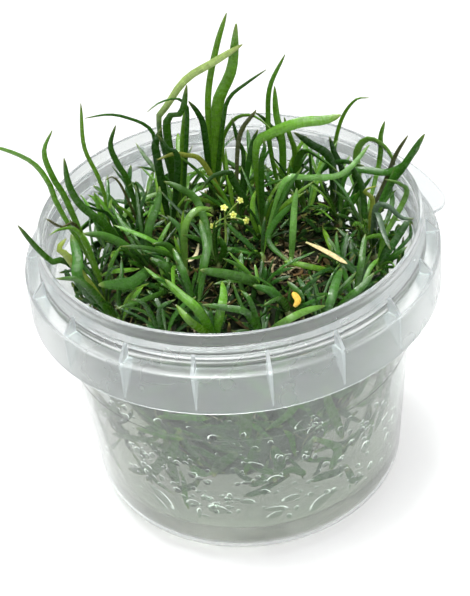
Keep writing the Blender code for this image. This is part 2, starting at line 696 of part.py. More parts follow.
first_sprig = len(PLANTLETS) + BED_FILLERS
names = ["plantlet_%02d" % (i + 1) for i in range(first_sprig)]
names[FLOWERING] = "flowering_plantlet"
names += ["sprig_%02d" % (i + 1) for i in range(len(WALL_SPRIGS))]
sizes = [1.0] * first_sprig + [0.6] * len(WALL_SPRIGS)
for name, crown, size in zip(names, crowns, sizes):
    bm = bmesh.new()
    make_crown(bm, crown, size)
    bed.add(BVHTree.FromBMesh(bm), name)
    bm.free()

grown = {name: [] for name in names}
for name, crown, ((x, y), leaves) in zip(names, crowns, PLANTLETS):
    root = crown + Vector((0, 0, 0.7))
    for width, points in leaves:
        wanted = [rim_point(*p) for p in points]
        slim = width * SLIMNESS
        placed = place_leaf(bed, name, root, wanted, slim, VIEWER)
        if placed:
            grown[name].append((placed, slim, VIEWER, None))

# The flower stalk and its stems, which end in the flowers
flowering = names[FLOWERING]
top = rim_point(*STALK_TOP)
stalk = [crowns[FLOWERING] + Vector((0, 0, 0.7)), (crowns[FLOWERING] + top) / 2 + Vector((1, 0, 0)), top]
stems = [[top, (top + rim_point(*f)) / 2 + Vector((0, 0, 0.4)), rim_point(*f)] for f in FLOWERS]
for line in [stalk] + stems:
    bed.add(blade_tree(line, STALK_WIDTH, VIEWER, 0.0, STALK_WIDTH), flowering)
    grown[flowering].append((line, STALK_WIDTH, VIEWER, STALK_WIDTH))

for name, crown in list(zip(names, crowns))[len(PLANTLETS):first_sprig]:
    outward = math.atan2(crown.y, crown.x)
    root = crown + Vector((0, 0, 0.7))
    tries = 0
    while len(grown[name]) < FILLER_LEAVES and tries < 60:
        tries += 1
        heading = outward + math.radians(rng.uniform(-FILLER_TURN, FILLER_TURN))
        lean = rng.uniform(*FILLER_LEANS)
        curl = rng.uniform(*FILLER_CURLS)
        length = rng.uniform(*FILLER_LENGTHS)
        width = rng.uniform(*FILLER_WIDTHS)
        points = free_leaf(root, heading, lean, curl, length)
        face = Vector((-math.cos(heading), -math.sin(heading), 0.8)).normalized()
        if bed.clear(blade_tree([root] + points, width, face, GAP), name):
            bed.add(blade_tree([root] + points, width, face, 0.0), name)
            grown[name].append(([root] + points, width, face, None))

for name, crown, ((azimuth, level), leaves) in zip(names[first_sprig:], crowns[first_sprig:], WALL_SPRIGS):
    root = crown + Vector((0, 0, 0.8))
    face = Vector((math.cos(math.radians(azimuth)), math.sin(math.radians(azimuth)), 0.0))
    for width, places in leaves:
        for standoff in WALL_STANDOFFS:
            placed = [root] + [wall_point(*place, standoff) for place in places]
            if bed.clear(blade_tree(placed, width, face, GAP), name):
                bed.add(blade_tree(placed, width, face, 0.0), name)
                grown[name].append((placed, width, face, None))
                break

for number, (name, crown, size) in enumerate(zip(names, crowns, sizes)):
    bm = bmesh.new()
    make_crown(bm, crown, size)
    plantlet = add_object(name, mesh_from_bmesh(name, bm), pieces, greens[number % len(greens)])
    bm = bmesh.new()
    for points, width, face, thickness in grown[name]:
        make_blade(bm, points, width, face, 0.0, thickness)
    if name == flowering:
        bmesh.ops.create_icosphere(bm, subdivisions=1, radius=HUB_RADIUS * MM,
                                   matrix=Matrix.Translation(top * MM))
        for flower in FLOWERS:
            away = (rim_point(*flower) - top).normalized()
            make_flower(bm, rim_point(*flower), (away + VIEWER).normalized())
    bmesh.ops.recalc_face_normals(bm, faces=bm.faces)
    leaves = add_object(name + "_leaves", mesh_from_bmesh(name + "_leaves", bm), tools)
    join_with(plantlet, leaves, overlapping=True)

for number, (width, points) in enumerate(LOOSE_LEAVES):
    name = "loose_leaf_%d" % (number + 1)
    wanted = [rim_point(*p) for p in points]
    upward = Vector((0, -0.3, 1))
    for lift in range(0, 12):
        raised = [p + Vector((0, 0, lift * 0.7)) for p in wanted]
        if bed.clear(blade_tree(raised, width, upward, GAP, 0.5), name):
            break
    bed.add(blade_tree(raised, width, upward, 0.0, 0.5), name)
    bm = bmesh.new()
    make_blade(bm, raised, width, upward, 0.0, 0.5)
    bmesh.ops.recalc_face_normals(bm, faces=bm.faces)
    add_object(name, mesh_from_bmesh(name, bm), pieces, straw)
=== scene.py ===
# Tissue-culture Lilaeopsis in its open cup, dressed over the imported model. Lengths are written in
# millimetres and turned into metres by MM where a mesh is made. Heights named "level" count from
# the plane of the cup's rim, down being negative, as in the part's own source.
import math
import random

import bpy
from mathutils import Matrix
from mathutils import Vector
from mathutils.bvhtree import BVHTree


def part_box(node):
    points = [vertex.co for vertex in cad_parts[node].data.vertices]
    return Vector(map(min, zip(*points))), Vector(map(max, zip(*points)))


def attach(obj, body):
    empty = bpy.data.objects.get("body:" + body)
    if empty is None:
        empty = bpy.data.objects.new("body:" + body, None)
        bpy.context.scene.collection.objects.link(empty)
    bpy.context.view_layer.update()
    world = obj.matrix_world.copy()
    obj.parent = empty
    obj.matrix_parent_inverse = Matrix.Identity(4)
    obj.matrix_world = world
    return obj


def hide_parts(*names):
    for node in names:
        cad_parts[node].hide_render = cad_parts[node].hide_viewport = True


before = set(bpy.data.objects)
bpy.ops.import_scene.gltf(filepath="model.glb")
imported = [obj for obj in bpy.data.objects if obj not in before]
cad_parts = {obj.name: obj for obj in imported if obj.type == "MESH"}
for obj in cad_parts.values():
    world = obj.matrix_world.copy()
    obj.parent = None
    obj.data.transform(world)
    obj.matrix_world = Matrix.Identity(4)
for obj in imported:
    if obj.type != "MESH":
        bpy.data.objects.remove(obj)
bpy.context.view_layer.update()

# The cup: one thin injection-moulded tub of translucent, slightly milky polypropylene. A lip, a
# neck, a ledge and a hanging skirt are turned in one with the body, and eighteen plates run from
# the neck through the ledge to the skirt. A flat pull tab stands out at the back right.
MM = 0.001
RIM = 79.0
WALL = 0.9
LIP_RADIUS = 47.5
LIP_INNER = 46.4
NECK_RADIUS = 48.0
LEDGE_RADIUS = 51.7
LEDGE_HEIGHT = 70.1
SKIRT_BOTTOM = 59.0
SKIRT_MIDDLE = LEDGE_RADIUS - WALL / 2
BODY_TOP = 45.8
BODY_BASE = 40.5
BASE_ROUND = 7.5
FOOT = BODY_BASE - BASE_ROUND
CUP_STEPS = 144
PLATES = 18
PLATE_START = 16.667
PLATE_THICKNESS = 0.8
EDGE_ANGLE = math.radians(32)


def outer_radius(level):
    """The body's outer radius at a level below the ledge."""
    top = LEDGE_HEIGHT - WALL - RIM
    bottom = BASE_ROUND - RIM
    return BODY_TOP + (BODY_BASE - BODY_TOP) * (top - level) / (top - bottom)


def inner_radius(level):
    return outer_radius(level) - WALL


def arc(centre_r, centre_z, radius, start, end, steps):
    turn = [math.radians(start + (end - start) * i / steps) for i in range(steps + 1)]
    return [(centre_r + radius * math.cos(a), centre_z + radius * math.sin(a)) for a in turn]


def draw_line(name, points):
    """Draws a chain of edges by extruding one vertex from point to point, and stays in edit mode."""
    bpy.ops.object.select_all(action="DESELECT")
    bpy.ops.mesh.primitive_plane_add(size=MM, location=[c * MM for c in points[0]])
    drawn = bpy.context.object
    drawn.name = name
    bpy.ops.object.transform_apply(location=True, rotation=False, scale=False)
    bpy.ops.object.mode_set(mode="EDIT")
    bpy.ops.mesh.select_all(action="SELECT")
    bpy.ops.mesh.merge(type="CENTER")
    for a, b in zip(points, points[1:]):
        step = [(q - p) * MM for p, q in zip(a, b)]
        bpy.ops.mesh.extrude_region_move(TRANSFORM_OT_translate={"value": step})
    return drawn


def turn_piece(name, outline, steps):
    """Turns an outline of radius and height round the axis into a closed piece."""
    turned = draw_line(name, [(r, 0.0, z) for r, z in outline])
    bpy.ops.mesh.select_all(action="SELECT")
    bpy.ops.mesh.spin(steps=steps, angle=2 * math.pi, center=(0, 0, 0), axis=(0, 0, 1))
    bpy.ops.mesh.select_all(action="SELECT")
    bpy.ops.mesh.remove_doubles(threshold=0.01 * MM)
    bpy.ops.mesh.normals_make_consistent(inside=False)
    bpy.ops.object.mode_set(mode="OBJECT")
    return turned


def cut_plate(name, outline, thickness):
    """A flat plate: its outline drawn, filled and extruded to its thickness along the normal."""
    plate = draw_line(name, outline)
    bpy.ops.mesh.select_all(action="SELECT")
    bpy.ops.mesh.edge_face_add()
    bpy.ops.mesh.extrude_region_move(TRANSFORM_OT_translate={"value": [c * MM for c in thickness]})
    bpy.ops.mesh.select_all(action="SELECT")
    bpy.ops.mesh.normals_make_consistent(inside=False)
    bpy.ops.object.mode_set(mode="OBJECT")
    return plate


def select_only(*pieces):
    """Selects these pieces and makes the first one active."""
    bpy.ops.object.select_all(action="DESELECT")
    for piece in pieces:
        piece.select_set(True)
    bpy.context.view_layer.objects.active = pieces[0]


def fuse(piece, tool):
    """Joins a tool's shape to a piece for good."""
    union = piece.modifiers.new("fuse", "BOOLEAN")
    union.solver = "EXACT"
    union.operation = "UNION"
    union.object = tool
    select_only(piece)
    bpy.ops.object.modifier_apply(modifier=union.name)
    bpy.data.objects.remove(tool)


def add_node(tree, kind, **inputs):
    """A new shader node, with its inputs set to values or linked from other nodes' outputs."""
    node = tree.nodes.new(kind)
    for name, value in inputs.items():
        socket = node.inputs[int(name[1:])] if name[1:].isdigit() else node.inputs[name.replace("_", " ")]
        if isinstance(value, bpy.types.NodeSocket):
            tree.links.new(value, socket)
        else:
            socket.default_value = value
    return node


def maths(tree, operation, *values):
    """A sum on two or three numbers, such as MULTIPLY."""
    node = add_node(tree, "ShaderNodeMath", **{"_%d" % i: value for i, value in enumerate(values)})
    node.operation = operation
    return node.outputs[0]


def multiplied(tree, first, second):
    """Two colours or places multiplied part by part."""
    node = add_node(tree, "ShaderNodeVectorMath", _0=first, _1=second)
    node.operation = "MULTIPLY"
    return node.outputs[0]


def mixed(tree, share, first, second):
    return add_node(tree, "ShaderNodeMixShader", _0=share, _1=first, _2=second).outputs[0]


def milky(tree, colour):
    """A milky layer that throws half of the scattered light back and lets half go on."""
    front = add_node(tree, "ShaderNodeBsdfDiffuse", Color=colour).outputs[0]
    back = add_node(tree, "ShaderNodeBsdfTranslucent", Color=colour).outputs[0]
    return mixed(tree, 0.5, front, back)


def object_place(tree):
    return tree.nodes.new("ShaderNodeTexCoord").outputs["Object"]


def bumps(tree, strength, depth, height):
    return add_node(tree, "ShaderNodeBump", Strength=strength, Distance=depth, Height=height).outputs[0]


def noise(tree, place, scale, detail=3.0, roughness=0.5):
    return add_node(tree, "ShaderNodeTexNoise", Vector=place, Scale=scale, Detail=detail,
                    Roughness=roughness).outputs["Fac"]


def spread(tree, value, low, high, to_low, to_high):
    """Maps a value from one range to another, held at its ends."""
    node = add_node(tree, "ShaderNodeMapRange", Value=value)
    for name, number in zip(("From Min", "From Max", "To Min", "To Max"), (low, high, to_low, to_high)):
        node.inputs[name].default_value = number
    return node.outputs["Result"]


def empty_material(name):
    material = bpy.data.materials.new(name)
    material.use_nodes = True
    tree = material.node_tree
    tree.nodes.clear()
    output = tree.nodes.new("ShaderNodeOutputMaterial")
    return material, tree, output


def let_lamps_through(tree, surface, output, tint):
    """Lets shadow rays through a see-through surface, tinted, so that what is behind it is lit."""
    rays = tree.nodes.new("ShaderNodeLightPath").outputs["Is Shadow Ray"]
    clear = add_node(tree, "ShaderNodeBsdfTransparent", Color=tint).outputs[0]
    tree.links.new(mixed(tree, rays, surface, clear), output.inputs["Surface"])


LEDGE_CLEARER = 0.7
HAZE = (0.70, 0.73, 0.745, 1.0)


def make_plastic(name, rim_haze, body_haze, rim_blur):
    """Translucent polypropylene: a clear share that blurs, and a milky share, both more at the rim."""
    material, tree, output = empty_material(name)
    place = object_place(tree)
    away = add_node(tree, "ShaderNodeVectorMath", _0=multiplied(tree, place, (1.0, 1.0, 0.0)))
    away.operation = "LENGTH"
    away = away.outputs["Value"]
    at_rim = spread(tree, away, BODY_TOP * MM, LIP_RADIUS * MM, 0.0, rim_blur)
    blur = maths(tree, "ADD", at_rim, spread(tree, noise(tree, place, 55.0), 0.3, 0.7, 0.03, 0.06))
    plastic = add_node(tree, "ShaderNodeBsdfPrincipled", Base_Color=(0.84, 0.865, 0.855, 1.0),
                       Roughness=blur, IOR=1.46, Transmission_Weight=1.0,
                       Normal=bumps(tree, 0.1, 0.0002, noise(tree, place, 160.0, 2.0))).outputs[0]
    rising = spread(tree, away, BODY_TOP * MM, LIP_RADIUS * MM, body_haze, rim_haze)
    inward = spread(tree, away, NECK_RADIUS * MM, (NECK_RADIUS + 0.8) * MM, 0.0, LEDGE_CLEARER)
    outward = spread(tree, away, (LEDGE_RADIUS - 1.5) * MM, (LEDGE_RADIUS - 0.8) * MM, 1.0, 0.0)
    kept = maths(tree, "SUBTRACT", 1.0, maths(tree, "MULTIPLY", inward, outward))
    milk = maths(tree, "MULTIPLY", rising, kept)
    body = mixed(tree, milk, plastic, milky(tree, HAZE))
    let_lamps_through(tree, body, output, (0.88, 0.90, 0.89, 1.0))
    return material


outline = [(0.0, WALL), (18.0, WALL)]
outline += arc(FOOT, BASE_ROUND, BASE_ROUND - WALL, -90, 0, 9)
outline += [(inner_radius(-35.5), 43.5), (inner_radius(-10.2), 68.8), (44.98, 69.8), (45.12, 70.2),
            (46.25, 71.7), (46.38, 72.1), (LIP_INNER, 78.5), (46.48, 78.82), (46.72, RIM),
            (47.12, RIM), (47.4, 78.86), (LIP_RADIUS, 78.55), (LIP_RADIUS, 78.35),
            (LIP_RADIUS, 76.4), (LIP_RADIUS, 76.25), (47.4, 76.0), (47.12, 75.75), (47.12, 75.4),
            (47.9, 74.5), (NECK_RADIUS, 74.2), (NECK_RADIUS, 73.75), (47.88, 73.6),
            (NECK_RADIUS, 73.4), (NECK_RADIUS, 70.4), (48.12, 70.15), (48.4, LEDGE_HEIGHT),
            (48.6, LEDGE_HEIGHT), (50.8, LEDGE_HEIGHT), (51.0, LEDGE_HEIGHT), (51.35, 70.0),
            (51.58, 69.8), (51.68, 69.5), (LEDGE_RADIUS, 69.2), (LEDGE_RADIUS, 68.9),
            (LEDGE_RADIUS, 59.5), (LEDGE_RADIUS, 59.25), (51.62, 59.07), (51.45, SKIRT_BOTTOM),
            (51.25, SKIRT_BOTTOM), (51.12, 59.07), (51.05, 59.25), (50.8, 60.5), (50.8, 68.8),
            (50.7, 69.1), (50.4, 69.2), (46.3, 69.2), (45.95, 69.1), (BODY_TOP - 0.02, 68.8)]
# A faint raised ring runs round the body at half its height.
outline += [(outer_radius(level) + swell, RIM + level)
            for level, swell in ((-35.2, 0), (-35.4, 0), (-35.5, 0.05), (-35.6, 0), (-35.8, 0))]
outline += arc(FOOT, BASE_ROUND, BASE_ROUND, 0, -90, 10)
outline += [(18.0, 0.0), (0.0, 0.0)]
cup = turn_piece("tub", outline, CUP_STEPS)
cup.data.materials.append(make_plastic("milky_polypropylene", 0.18, 0.035, 0.22))
plate_plastic = make_plastic("plate_polypropylene", 0.6, 0.6, 0.3)

PLATE_CLEAR = 0.05
PLATE_TAPER = 0.35
fin_outline = [(NECK_RADIUS + PLATE_CLEAR, 73.9), (48.5, 73.7), (51.1, 70.5),
               (51.2, LEDGE_HEIGHT + PLATE_CLEAR), (NECK_RADIUS + 0.45, LEDGE_HEIGHT + PLATE_CLEAR),
               (NECK_RADIUS + PLATE_CLEAR, 70.5)]
gusset_outline = [(46.4, 69.15), (50.3, 69.15), (50.7, 68.7), (50.75, 59.9), (50.55, 59.9), (46.05, 68.8)]
plates = []
for i in range(PLATES):
    for shape in (fin_outline, gusset_outline):
        plate = cut_plate("plate", [(r, -PLATE_THICKNESS / 2, z) for r, z in shape],
                          (0.0, PLATE_THICKNESS, 0.0))
        for vert in plate.data.vertices:
            if vert.co.z < (SKIRT_BOTTOM + 1) * MM:
                vert.co.y *= PLATE_TAPER
        plate.data.transform(Matrix.Rotation(math.radians(PLATE_START + i * 360 / PLATES), 4, "Z"))
        plate.data.materials.append(plate_plastic)
        plates.append(plate)

TAB_RADIUS = 56.4
TAB_LEVEL = 69.1
TAB_FROM, TAB_TO = 6.0, 50.0
TAB_EASE = 7.1
tab_outline = []
for i in range(31):
    angle = TAB_FROM + (TAB_TO - TAB_FROM) * i / 30
    ease = min(1.0, min(angle - TAB_FROM, TAB_TO - angle) / TAB_EASE)
    reach = SKIRT_MIDDLE + (TAB_RADIUS - SKIRT_MIDDLE) * math.sin(math.pi / 2 * ease) ** 0.6
    tab_outline.append((reach, angle))
tab_outline += [(SKIRT_MIDDLE - 0.2, TAB_TO + (TAB_FROM - TAB_TO) * (i + 0.5) / 15) for i in range(15)]
tab_outline = [(r * math.cos(math.radians(a)), r * math.sin(math.radians(a)), TAB_LEVEL)
               for r, a in tab_outline]
tab = cut_plate("tab", tab_outline, (0.0, 0.0, WALL))
tab.data.materials.append(cup.data.materials[0])
fuse(cup, tab)
select_only(cup, *plates)
bpy.ops.object.join()
bpy.ops.object.shade_smooth_by_angle(angle=EDGE_ANGLE)
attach(cup, "root")
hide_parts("cup")

# The nutrient gel: a shallow disc of clear, faintly cloudy jelly that was poured hot on the cup's
# floor, so it fills the rounded corner and wets the wall in a low meniscus.
GEL_TOP = 10.5
GEL_CLEAR = 0.06
GEL_SIDE = inner_radius(-68.5) - GEL_CLEAR
outline = [(0.0, GEL_TOP), (25.0, GEL_TOP), (GEL_SIDE - 2.6, GEL_TOP + 0.02),
           (GEL_SIDE - 1.2, GEL_TOP + 0.12), (GEL_SIDE - 0.4, GEL_TOP + 0.35), (GEL_SIDE, GEL_TOP + 0.6)]
outline += arc(FOOT, BASE_ROUND, BASE_ROUND - WALL - GEL_CLEAR, 0, -90, 9)
outline += [(0.0, WALL + GEL_CLEAR)]
gel = turn_piece("gel_disc", outline, CUP_STEPS)
bpy.ops.object.shade_smooth_by_angle(angle=EDGE_ANGLE)
material, tree, output = empty_material("clear_jelly")
place = object_place(tree)
jelly = add_node(tree, "ShaderNodeBsdfPrincipled", Base_Color=(0.91, 0.92, 0.82, 1.0), Roughness=0.05,
                 IOR=1.34, Transmission_Weight=1.0,
                 Normal=bumps(tree, 0.3, 0.0004, noise(tree, place, 90.0, 3.0))).outputs[0]
milk = add_node(tree, "ShaderNodeBsdfTranslucent", Color=(0.95, 0.95, 0.83, 1.0)).outputs[0]
cloud = spread(tree, noise(tree, place, 130.0, 4.0), 0.35, 0.7, 0.08, 0.2)
let_lamps_through(tree, mixed(tree, cloud, jelly, milk), output, (0.8, 0.83, 0.76, 1.0))
gel.data.materials.append(material)
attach(gel, "root")
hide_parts("nutrient_gel")

# The root mat: a loose ball of fine wet roots and old leaf bases, dark brown-green, that the plants stand
# in. A lumpy core, painted nearly black as painted shade in the gaps between the leaves, carries several
# hundred thin roots and short dark shoots.
BED_TOP = -11.0
BED_FALL = 6.0
BED_RADIUS = 34.0
BED_EDGE = 35.0


def rim_point(x, y, level):
    return Vector((x, y, level + RIM))


def bed_level(x, y):
    """The level of the domed bed that the crowns stand on."""
    return BED_TOP - BED_FALL * (x * x + y * y) / BED_RADIUS ** 2


def route(points, shares):
    """A smooth line through the points, as stations at these shares of its length."""
    ends = [points[0] * 2 - points[1]] + list(points) + [points[-1] * 2 - points[-2]]
    fine = []
    for i in range(1, len(ends) - 2):
        a, b, c, d = ends[i - 1:i + 3]
        for j in range(8):
            t = j / 8
            fine.append(0.5 * ((2 * b) + (c - a) * t + (2 * a - 5 * b + 4 * c - d) * t * t
                               + (3 * b - a - 3 * c + d) * t ** 3))
    fine.append(points[-1].copy())
    lengths = [0.0]
    for a, b in zip(fine, fine[1:]):
        lengths.append(lengths[-1] + (b - a).length)
    line = []
    k = 0
    for share in shares:
        want = lengths[-1] * share
        while k < len(fine) - 2 and lengths[k + 1] < want:
            k += 1
        span = max(lengths[k + 1] - lengths[k], 1e-9)
        line.append(fine[k].lerp(fine[k + 1], (want - lengths[k]) / span))
    return line


class Growth:
    """Gathers many swept shapes into one mesh, with a colour and a place along for each point."""

    def __init__(self):
        self.points = []
        self.faces = []
        self.tints = []
        self.places = []

    def add_point(self, spot, tint, place=(0.0, 0.0, 0.0)):
        self.points.append(spot * MM)
        self.tints.append((*tint, 1.0))
        self.places.append(place)

    def close_rings(self, first, count, sides):
        """Faces between the rings of points since the first, and a cap on each end."""
        for i in range(count - 1):
            for k in range(sides):
                a = first + i * sides + k
                b = first + i * sides + (k + 1) % sides
                self.faces.append((a, a + sides, b + sides, b))
        self.faces.append(tuple(first + k for k in range(sides)))
        last = first + (count - 1) * sides
        self.faces.append(tuple(last + k for k in reversed(range(sides))))

    def take(self, other):
        """Adds all that another growth has gathered."""
        first = len(self.points)
        self.points += other.points
        self.tints += other.tints
        self.places += other.places
        self.faces += [tuple(first + k for k in face) for face in other.faces]

    def sweep(self, line, face, halves, depths, tints, sides, seed=0.0, twist=0.0):
        """Sweeps a flattened ring along a line. At its middle its flat side looks along face."""
        count = len(line)
        tangents = [(line[min(i + 1, count - 1)] - line[max(i - 1, 0)]).normalized()
                    for i in range(count)]
        middle = count // 2
        across = tangents[middle].cross(face)
        if across.length < 0.2:
            across = tangents[middle].cross(Vector((0.3, 0.2, 1.0)))
        frames = [None] * count
        frames[middle] = across.normalized()
        for i in list(range(middle + 1, count)) + list(range(middle - 1, -1, -1)):
            near = frames[i - 1] if i > middle else frames[i + 1]
            frames[i] = (near - tangents[i] * near.dot(tangents[i])).normalized()
        first = len(self.points)
        run = 0.0
        for i in range(count):
            run += (line[i] - line[i - 1]).length if i else 0.0
            normal = frames[i].cross(tangents[i])
            lean = twist * (i - middle) / count
            side = frames[i] * math.cos(lean) + normal * math.sin(lean)
            normal = normal * math.cos(lean) - frames[i] * math.sin(lean)
            for k in range(sides):
                turn = 2 * math.pi * k / sides
                rise = math.sin(turn)
                rise *= 0.55 if rise > 0 else 1.0
                spot = line[i] + side * (math.cos(turn) * halves[i]) + normal * (rise * depths[i])
                self.add_point(spot, tints[i], (math.cos(turn), run, seed))
        self.close_rings(first, count, sides)

    def piece(self, name, material):
        mesh = bpy.data.meshes.new(name)
        mesh.from_pydata(self.points, [], self.faces)
        tint = mesh.color_attributes.new("tint", "FLOAT_COLOR", "POINT")
        tint.data.foreach_set("color", [c for row in self.tints for c in row])
        place = mesh.attributes.new("place", "FLOAT_VECTOR", "POINT")
        place.data.foreach_set("vector", [c for row in self.places for c in row])
        mesh.shade_smooth()
        mesh.set_sharp_from_angle(angle=math.radians(70))
        mesh.materials.append(material)
        thing = bpy.data.objects.new(name, mesh)
        bpy.context.scene.collection.objects.link(thing)
        return thing


def blend_tint(a, b, share):
    return tuple(p + (q - p) * share for p, q in zip(a, b))


BLADE_SHAPE = ((0.0, 0.45), (0.1, 0.6), (0.25, 0.84), (0.45, 1.0), (0.7, 0.98), (0.84, 0.86),
               (0.92, 0.68), (0.97, 0.42), (1.0, 0.14))


def blade_share(t, peak):
    """The blade's width at a place along it, as a share of the greatest, which lies at peak."""
    t = t ** (math.log(0.5) / math.log(peak))
    for (t0, w0), (t1, w1) in zip(BLADE_SHAPE, BLADE_SHAPE[1:]):
        if t <= t1:
            return w0 + (w1 - w0) * (t - t0) / (t1 - t0)
    return BLADE_SHAPE[-1][1]


PALE_BASE = (0.30, 0.36, 0.12)
YELLOW_TIP = (0.24, 0.26, 0.05)


def add_blade(growth, points, width, face, tint, rng, rings=20, sides=8, peak=None, low=None):
    """A whole leaf: pale where it leaves the crown and at its very tip, its own green between. Its
    lower half has the low tint if one is given."""
    shares = [1 - (1 - i / (rings - 1)) ** 1.15 for i in range(rings)]
    line = route(points, shares)
    drawn_peak = rng.uniform(0.42, 0.6)
    peak = peak or drawn_peak
    thick = min(1.1, width * 0.36 + 0.15) * 0.62
    base = blend_tint(tint, PALE_BASE, 0.4)
    tip = blend_tint(tint, YELLOW_TIP, 0.5)
    halves, depths, tints = [], [], []
    for t in shares:
        share = blade_share(t, peak)
        halves.append(width * share / 2)
        depths.append(thick * min(1.0, 0.3 + 0.8 * share) * (1.0 if t < 0.97 else 0.6))
        colour = blend_tint(base, tint, min(1.0, t / 0.22))
        if low:
            colour = blend_tint(low, tint, min(1.0, max(0.0, (t - 0.45) / 0.15)))
        tints.append(blend_tint(colour, tip, max(0.0, (t - 0.93) / 0.07)))
    growth.sweep(line, face, halves, depths, tints, sides, rng.uniform(0, 50), rng.uniform(-0.6, 0.6))


mat_growth = Growth()
bpy.ops.object.select_all(action="DESELECT")
bpy.ops.mesh.primitive_uv_sphere_add(segments=96, ring_count=60, radius=1.0)
core = bpy.context.object
core.name = "root_ball"
MAT_PROFILE = ((0, -11.9), (12, -12.6), (24, -14.9), (34, -18.6), (36.8, -24.0), (35.2, -35.0),
               (31.5, -46.0), (26.5, -57.0), (21.5, -66.9), (12.0, -68.1), (0.0, -68.2))
ON_GEL = 8.6


def mat_outline(t):
    """The mat's radius and level at a place along its profile, counted in rows."""
    k = min(int(t), len(MAT_PROFILE) - 2)
    (r0, z0), (r1, z1) = MAT_PROFILE[k:k + 2]
    return r0 + (r1 - r0) * (t - k), z0 + (z1 - z0) * (t - k)


for vert in core.data.vertices:
    angle = math.atan2(vert.co.y, vert.co.x)
    t = math.acos(max(-1.0, min(1.0, vert.co.z))) / math.pi * (len(MAT_PROFILE) - 1)
    radius, level = mat_outline(t)
    lump = 1 + 0.03 * math.sin(3 * angle + t) + 0.02 * math.sin(7 * angle + 2 * t)
    ragged = 0.012 * math.sin(23 * angle + 5 * t) + 0.01 * math.sin(41 * angle - 11 * t)
    radius *= (lump + ragged) if 0.3 < t < ON_GEL else 1.0
    level += 0.35 * math.sin(9 * angle + 4 * t) * (1.0 if t < ON_GEL else 0.0)
    vert.co = Vector((radius * math.cos(angle), radius * math.sin(angle), level + RIM)) * MM
core.data.shade_smooth()
# Painted shade: the core is coloured nearly black so that the gaps between the leaves look deep in shadow.
core_shade_tint = core.data.color_attributes.new("tint", "FLOAT_COLOR", "POINT")
core_shade_tint.data.foreach_set("color", [0.008, 0.012, 0.004, 1.0] * len(core.data.vertices))
core.data.attributes.new("place", "FLOAT_VECTOR", "POINT")


def add_root(points, thin, tip, tint, sides):
    """A fine root along the points."""
    halves = [thin] * 6 + [tip]
    line = route(points, [j / 6 for j in range(7)])
    mat_growth.sweep(line, Vector((0, 0, 1)), halves, halves, [tint] * 7, sides)


ROOTS = 420
ROOT_TINTS = ((0.20, 0.16, 0.08), (0.07, 0.06, 0.03), (0.03, 0.035, 0.012), (0.36, 0.32, 0.20))
rng = random.Random(5)
for i in range(ROOTS):
    angle = rng.uniform(0, 2 * math.pi)
    on_top = i % 2
    points = []
    heading = rng.uniform(0, 2 * math.pi)
    if on_top:
        radius = BED_RADIUS * math.sqrt(rng.random())
        x, y = radius * math.cos(angle), radius * math.sin(angle)
        for j in range(4):
            points.append(rim_point(x, y, bed_level(x, y) - 0.9 + rng.uniform(-0.3, 1.3)))
            heading += rng.uniform(-0.9, 0.9)
            x += 2.6 * math.cos(heading)
            y += 2.6 * math.sin(heading)
            shrink = min(1.0, BED_EDGE / math.hypot(x, y))
            x, y = x * shrink, y * shrink
    else:
        t = rng.uniform(3.2, 8.0)
        for j in range(4):
            radius, level = mat_outline(t)
            radius += rng.uniform(-0.4, 0.9)
            points.append(rim_point(radius * math.cos(angle), radius * math.sin(angle), level))
            t = min(8.4, t + rng.uniform(0.1, 0.7))
            angle += rng.uniform(-0.12, 0.12)
    add_root(points, rng.uniform(0.12, 0.3), 0.05, rng.choice(ROOT_TINTS), 4)


def nearest_free(x, y, reach):
    """Pulls a place on the bed back inside the cup."""
    away = math.hypot(x, y)
    return (x * reach / away, y * reach / away) if away > reach else (x, y)


def slanted(heading, tilt):
    """A step of length 1 that leans from upright by tilt, towards heading."""
    flat = Vector((math.cos(heading), math.sin(heading), 0.0))
    return flat * math.sin(tilt) + Vector((0, 0, math.cos(tilt)))


# Short shoots stand all over the bed, apart from one open patch. Their own dark green is painted darker
# still, near black, as painted shade in the gaps between the leaves.
GOLDEN_ANGLE = 137.508
OPEN_PATCH = (13.0, -8.0)
OPEN_RADIUS = 7.0
SHORT_SHOOTS = 620
SHOOT_REACH = 41.0
SHADED_SHOOT_TINTS = ((0.006, 0.022, 0.003), (0.010, 0.036, 0.004), (0.020, 0.065, 0.006), (0.04, 0.03, 0.01))


def from_patch(x, y):
    return math.hypot(x - OPEN_PATCH[0], y - OPEN_PATCH[1])


for i in range(SHORT_SHOOTS):
    radius = BED_EDGE * math.sqrt((i + 0.5) / SHORT_SHOOTS)
    angle = math.radians(i * GOLDEN_ANGLE)
    x, y = radius * math.cos(angle), radius * math.sin(angle)
    if from_patch(x, y) < OPEN_RADIUS:
        continue
    start = rim_point(x, y, bed_level(x, y) - 1.0)
    heading = rng.uniform(0, 2 * math.pi)
    lean = rng.uniform(0.2, 1.2)
    length = rng.uniform(4.0, 11.0)
    points = [start]
    for j in range(3):
        lean += rng.uniform(0.0, 0.3)
        spot = points[-1] + slanted(heading, lean) * (length / 3)
        spot.x, spot.y = nearest_free(spot.x, spot.y, SHOOT_REACH)
        points.append(spot)
    tint = rng.choice(SHADED_SHOOT_TINTS)
    face = Vector((rng.uniform(-1, 1), rng.uniform(-1, 1), 1.2)).normalized()
    add_blade(mat_growth, points, rng.uniform(0.7, 1.4), face, tint, rng, rings=6, sides=5)

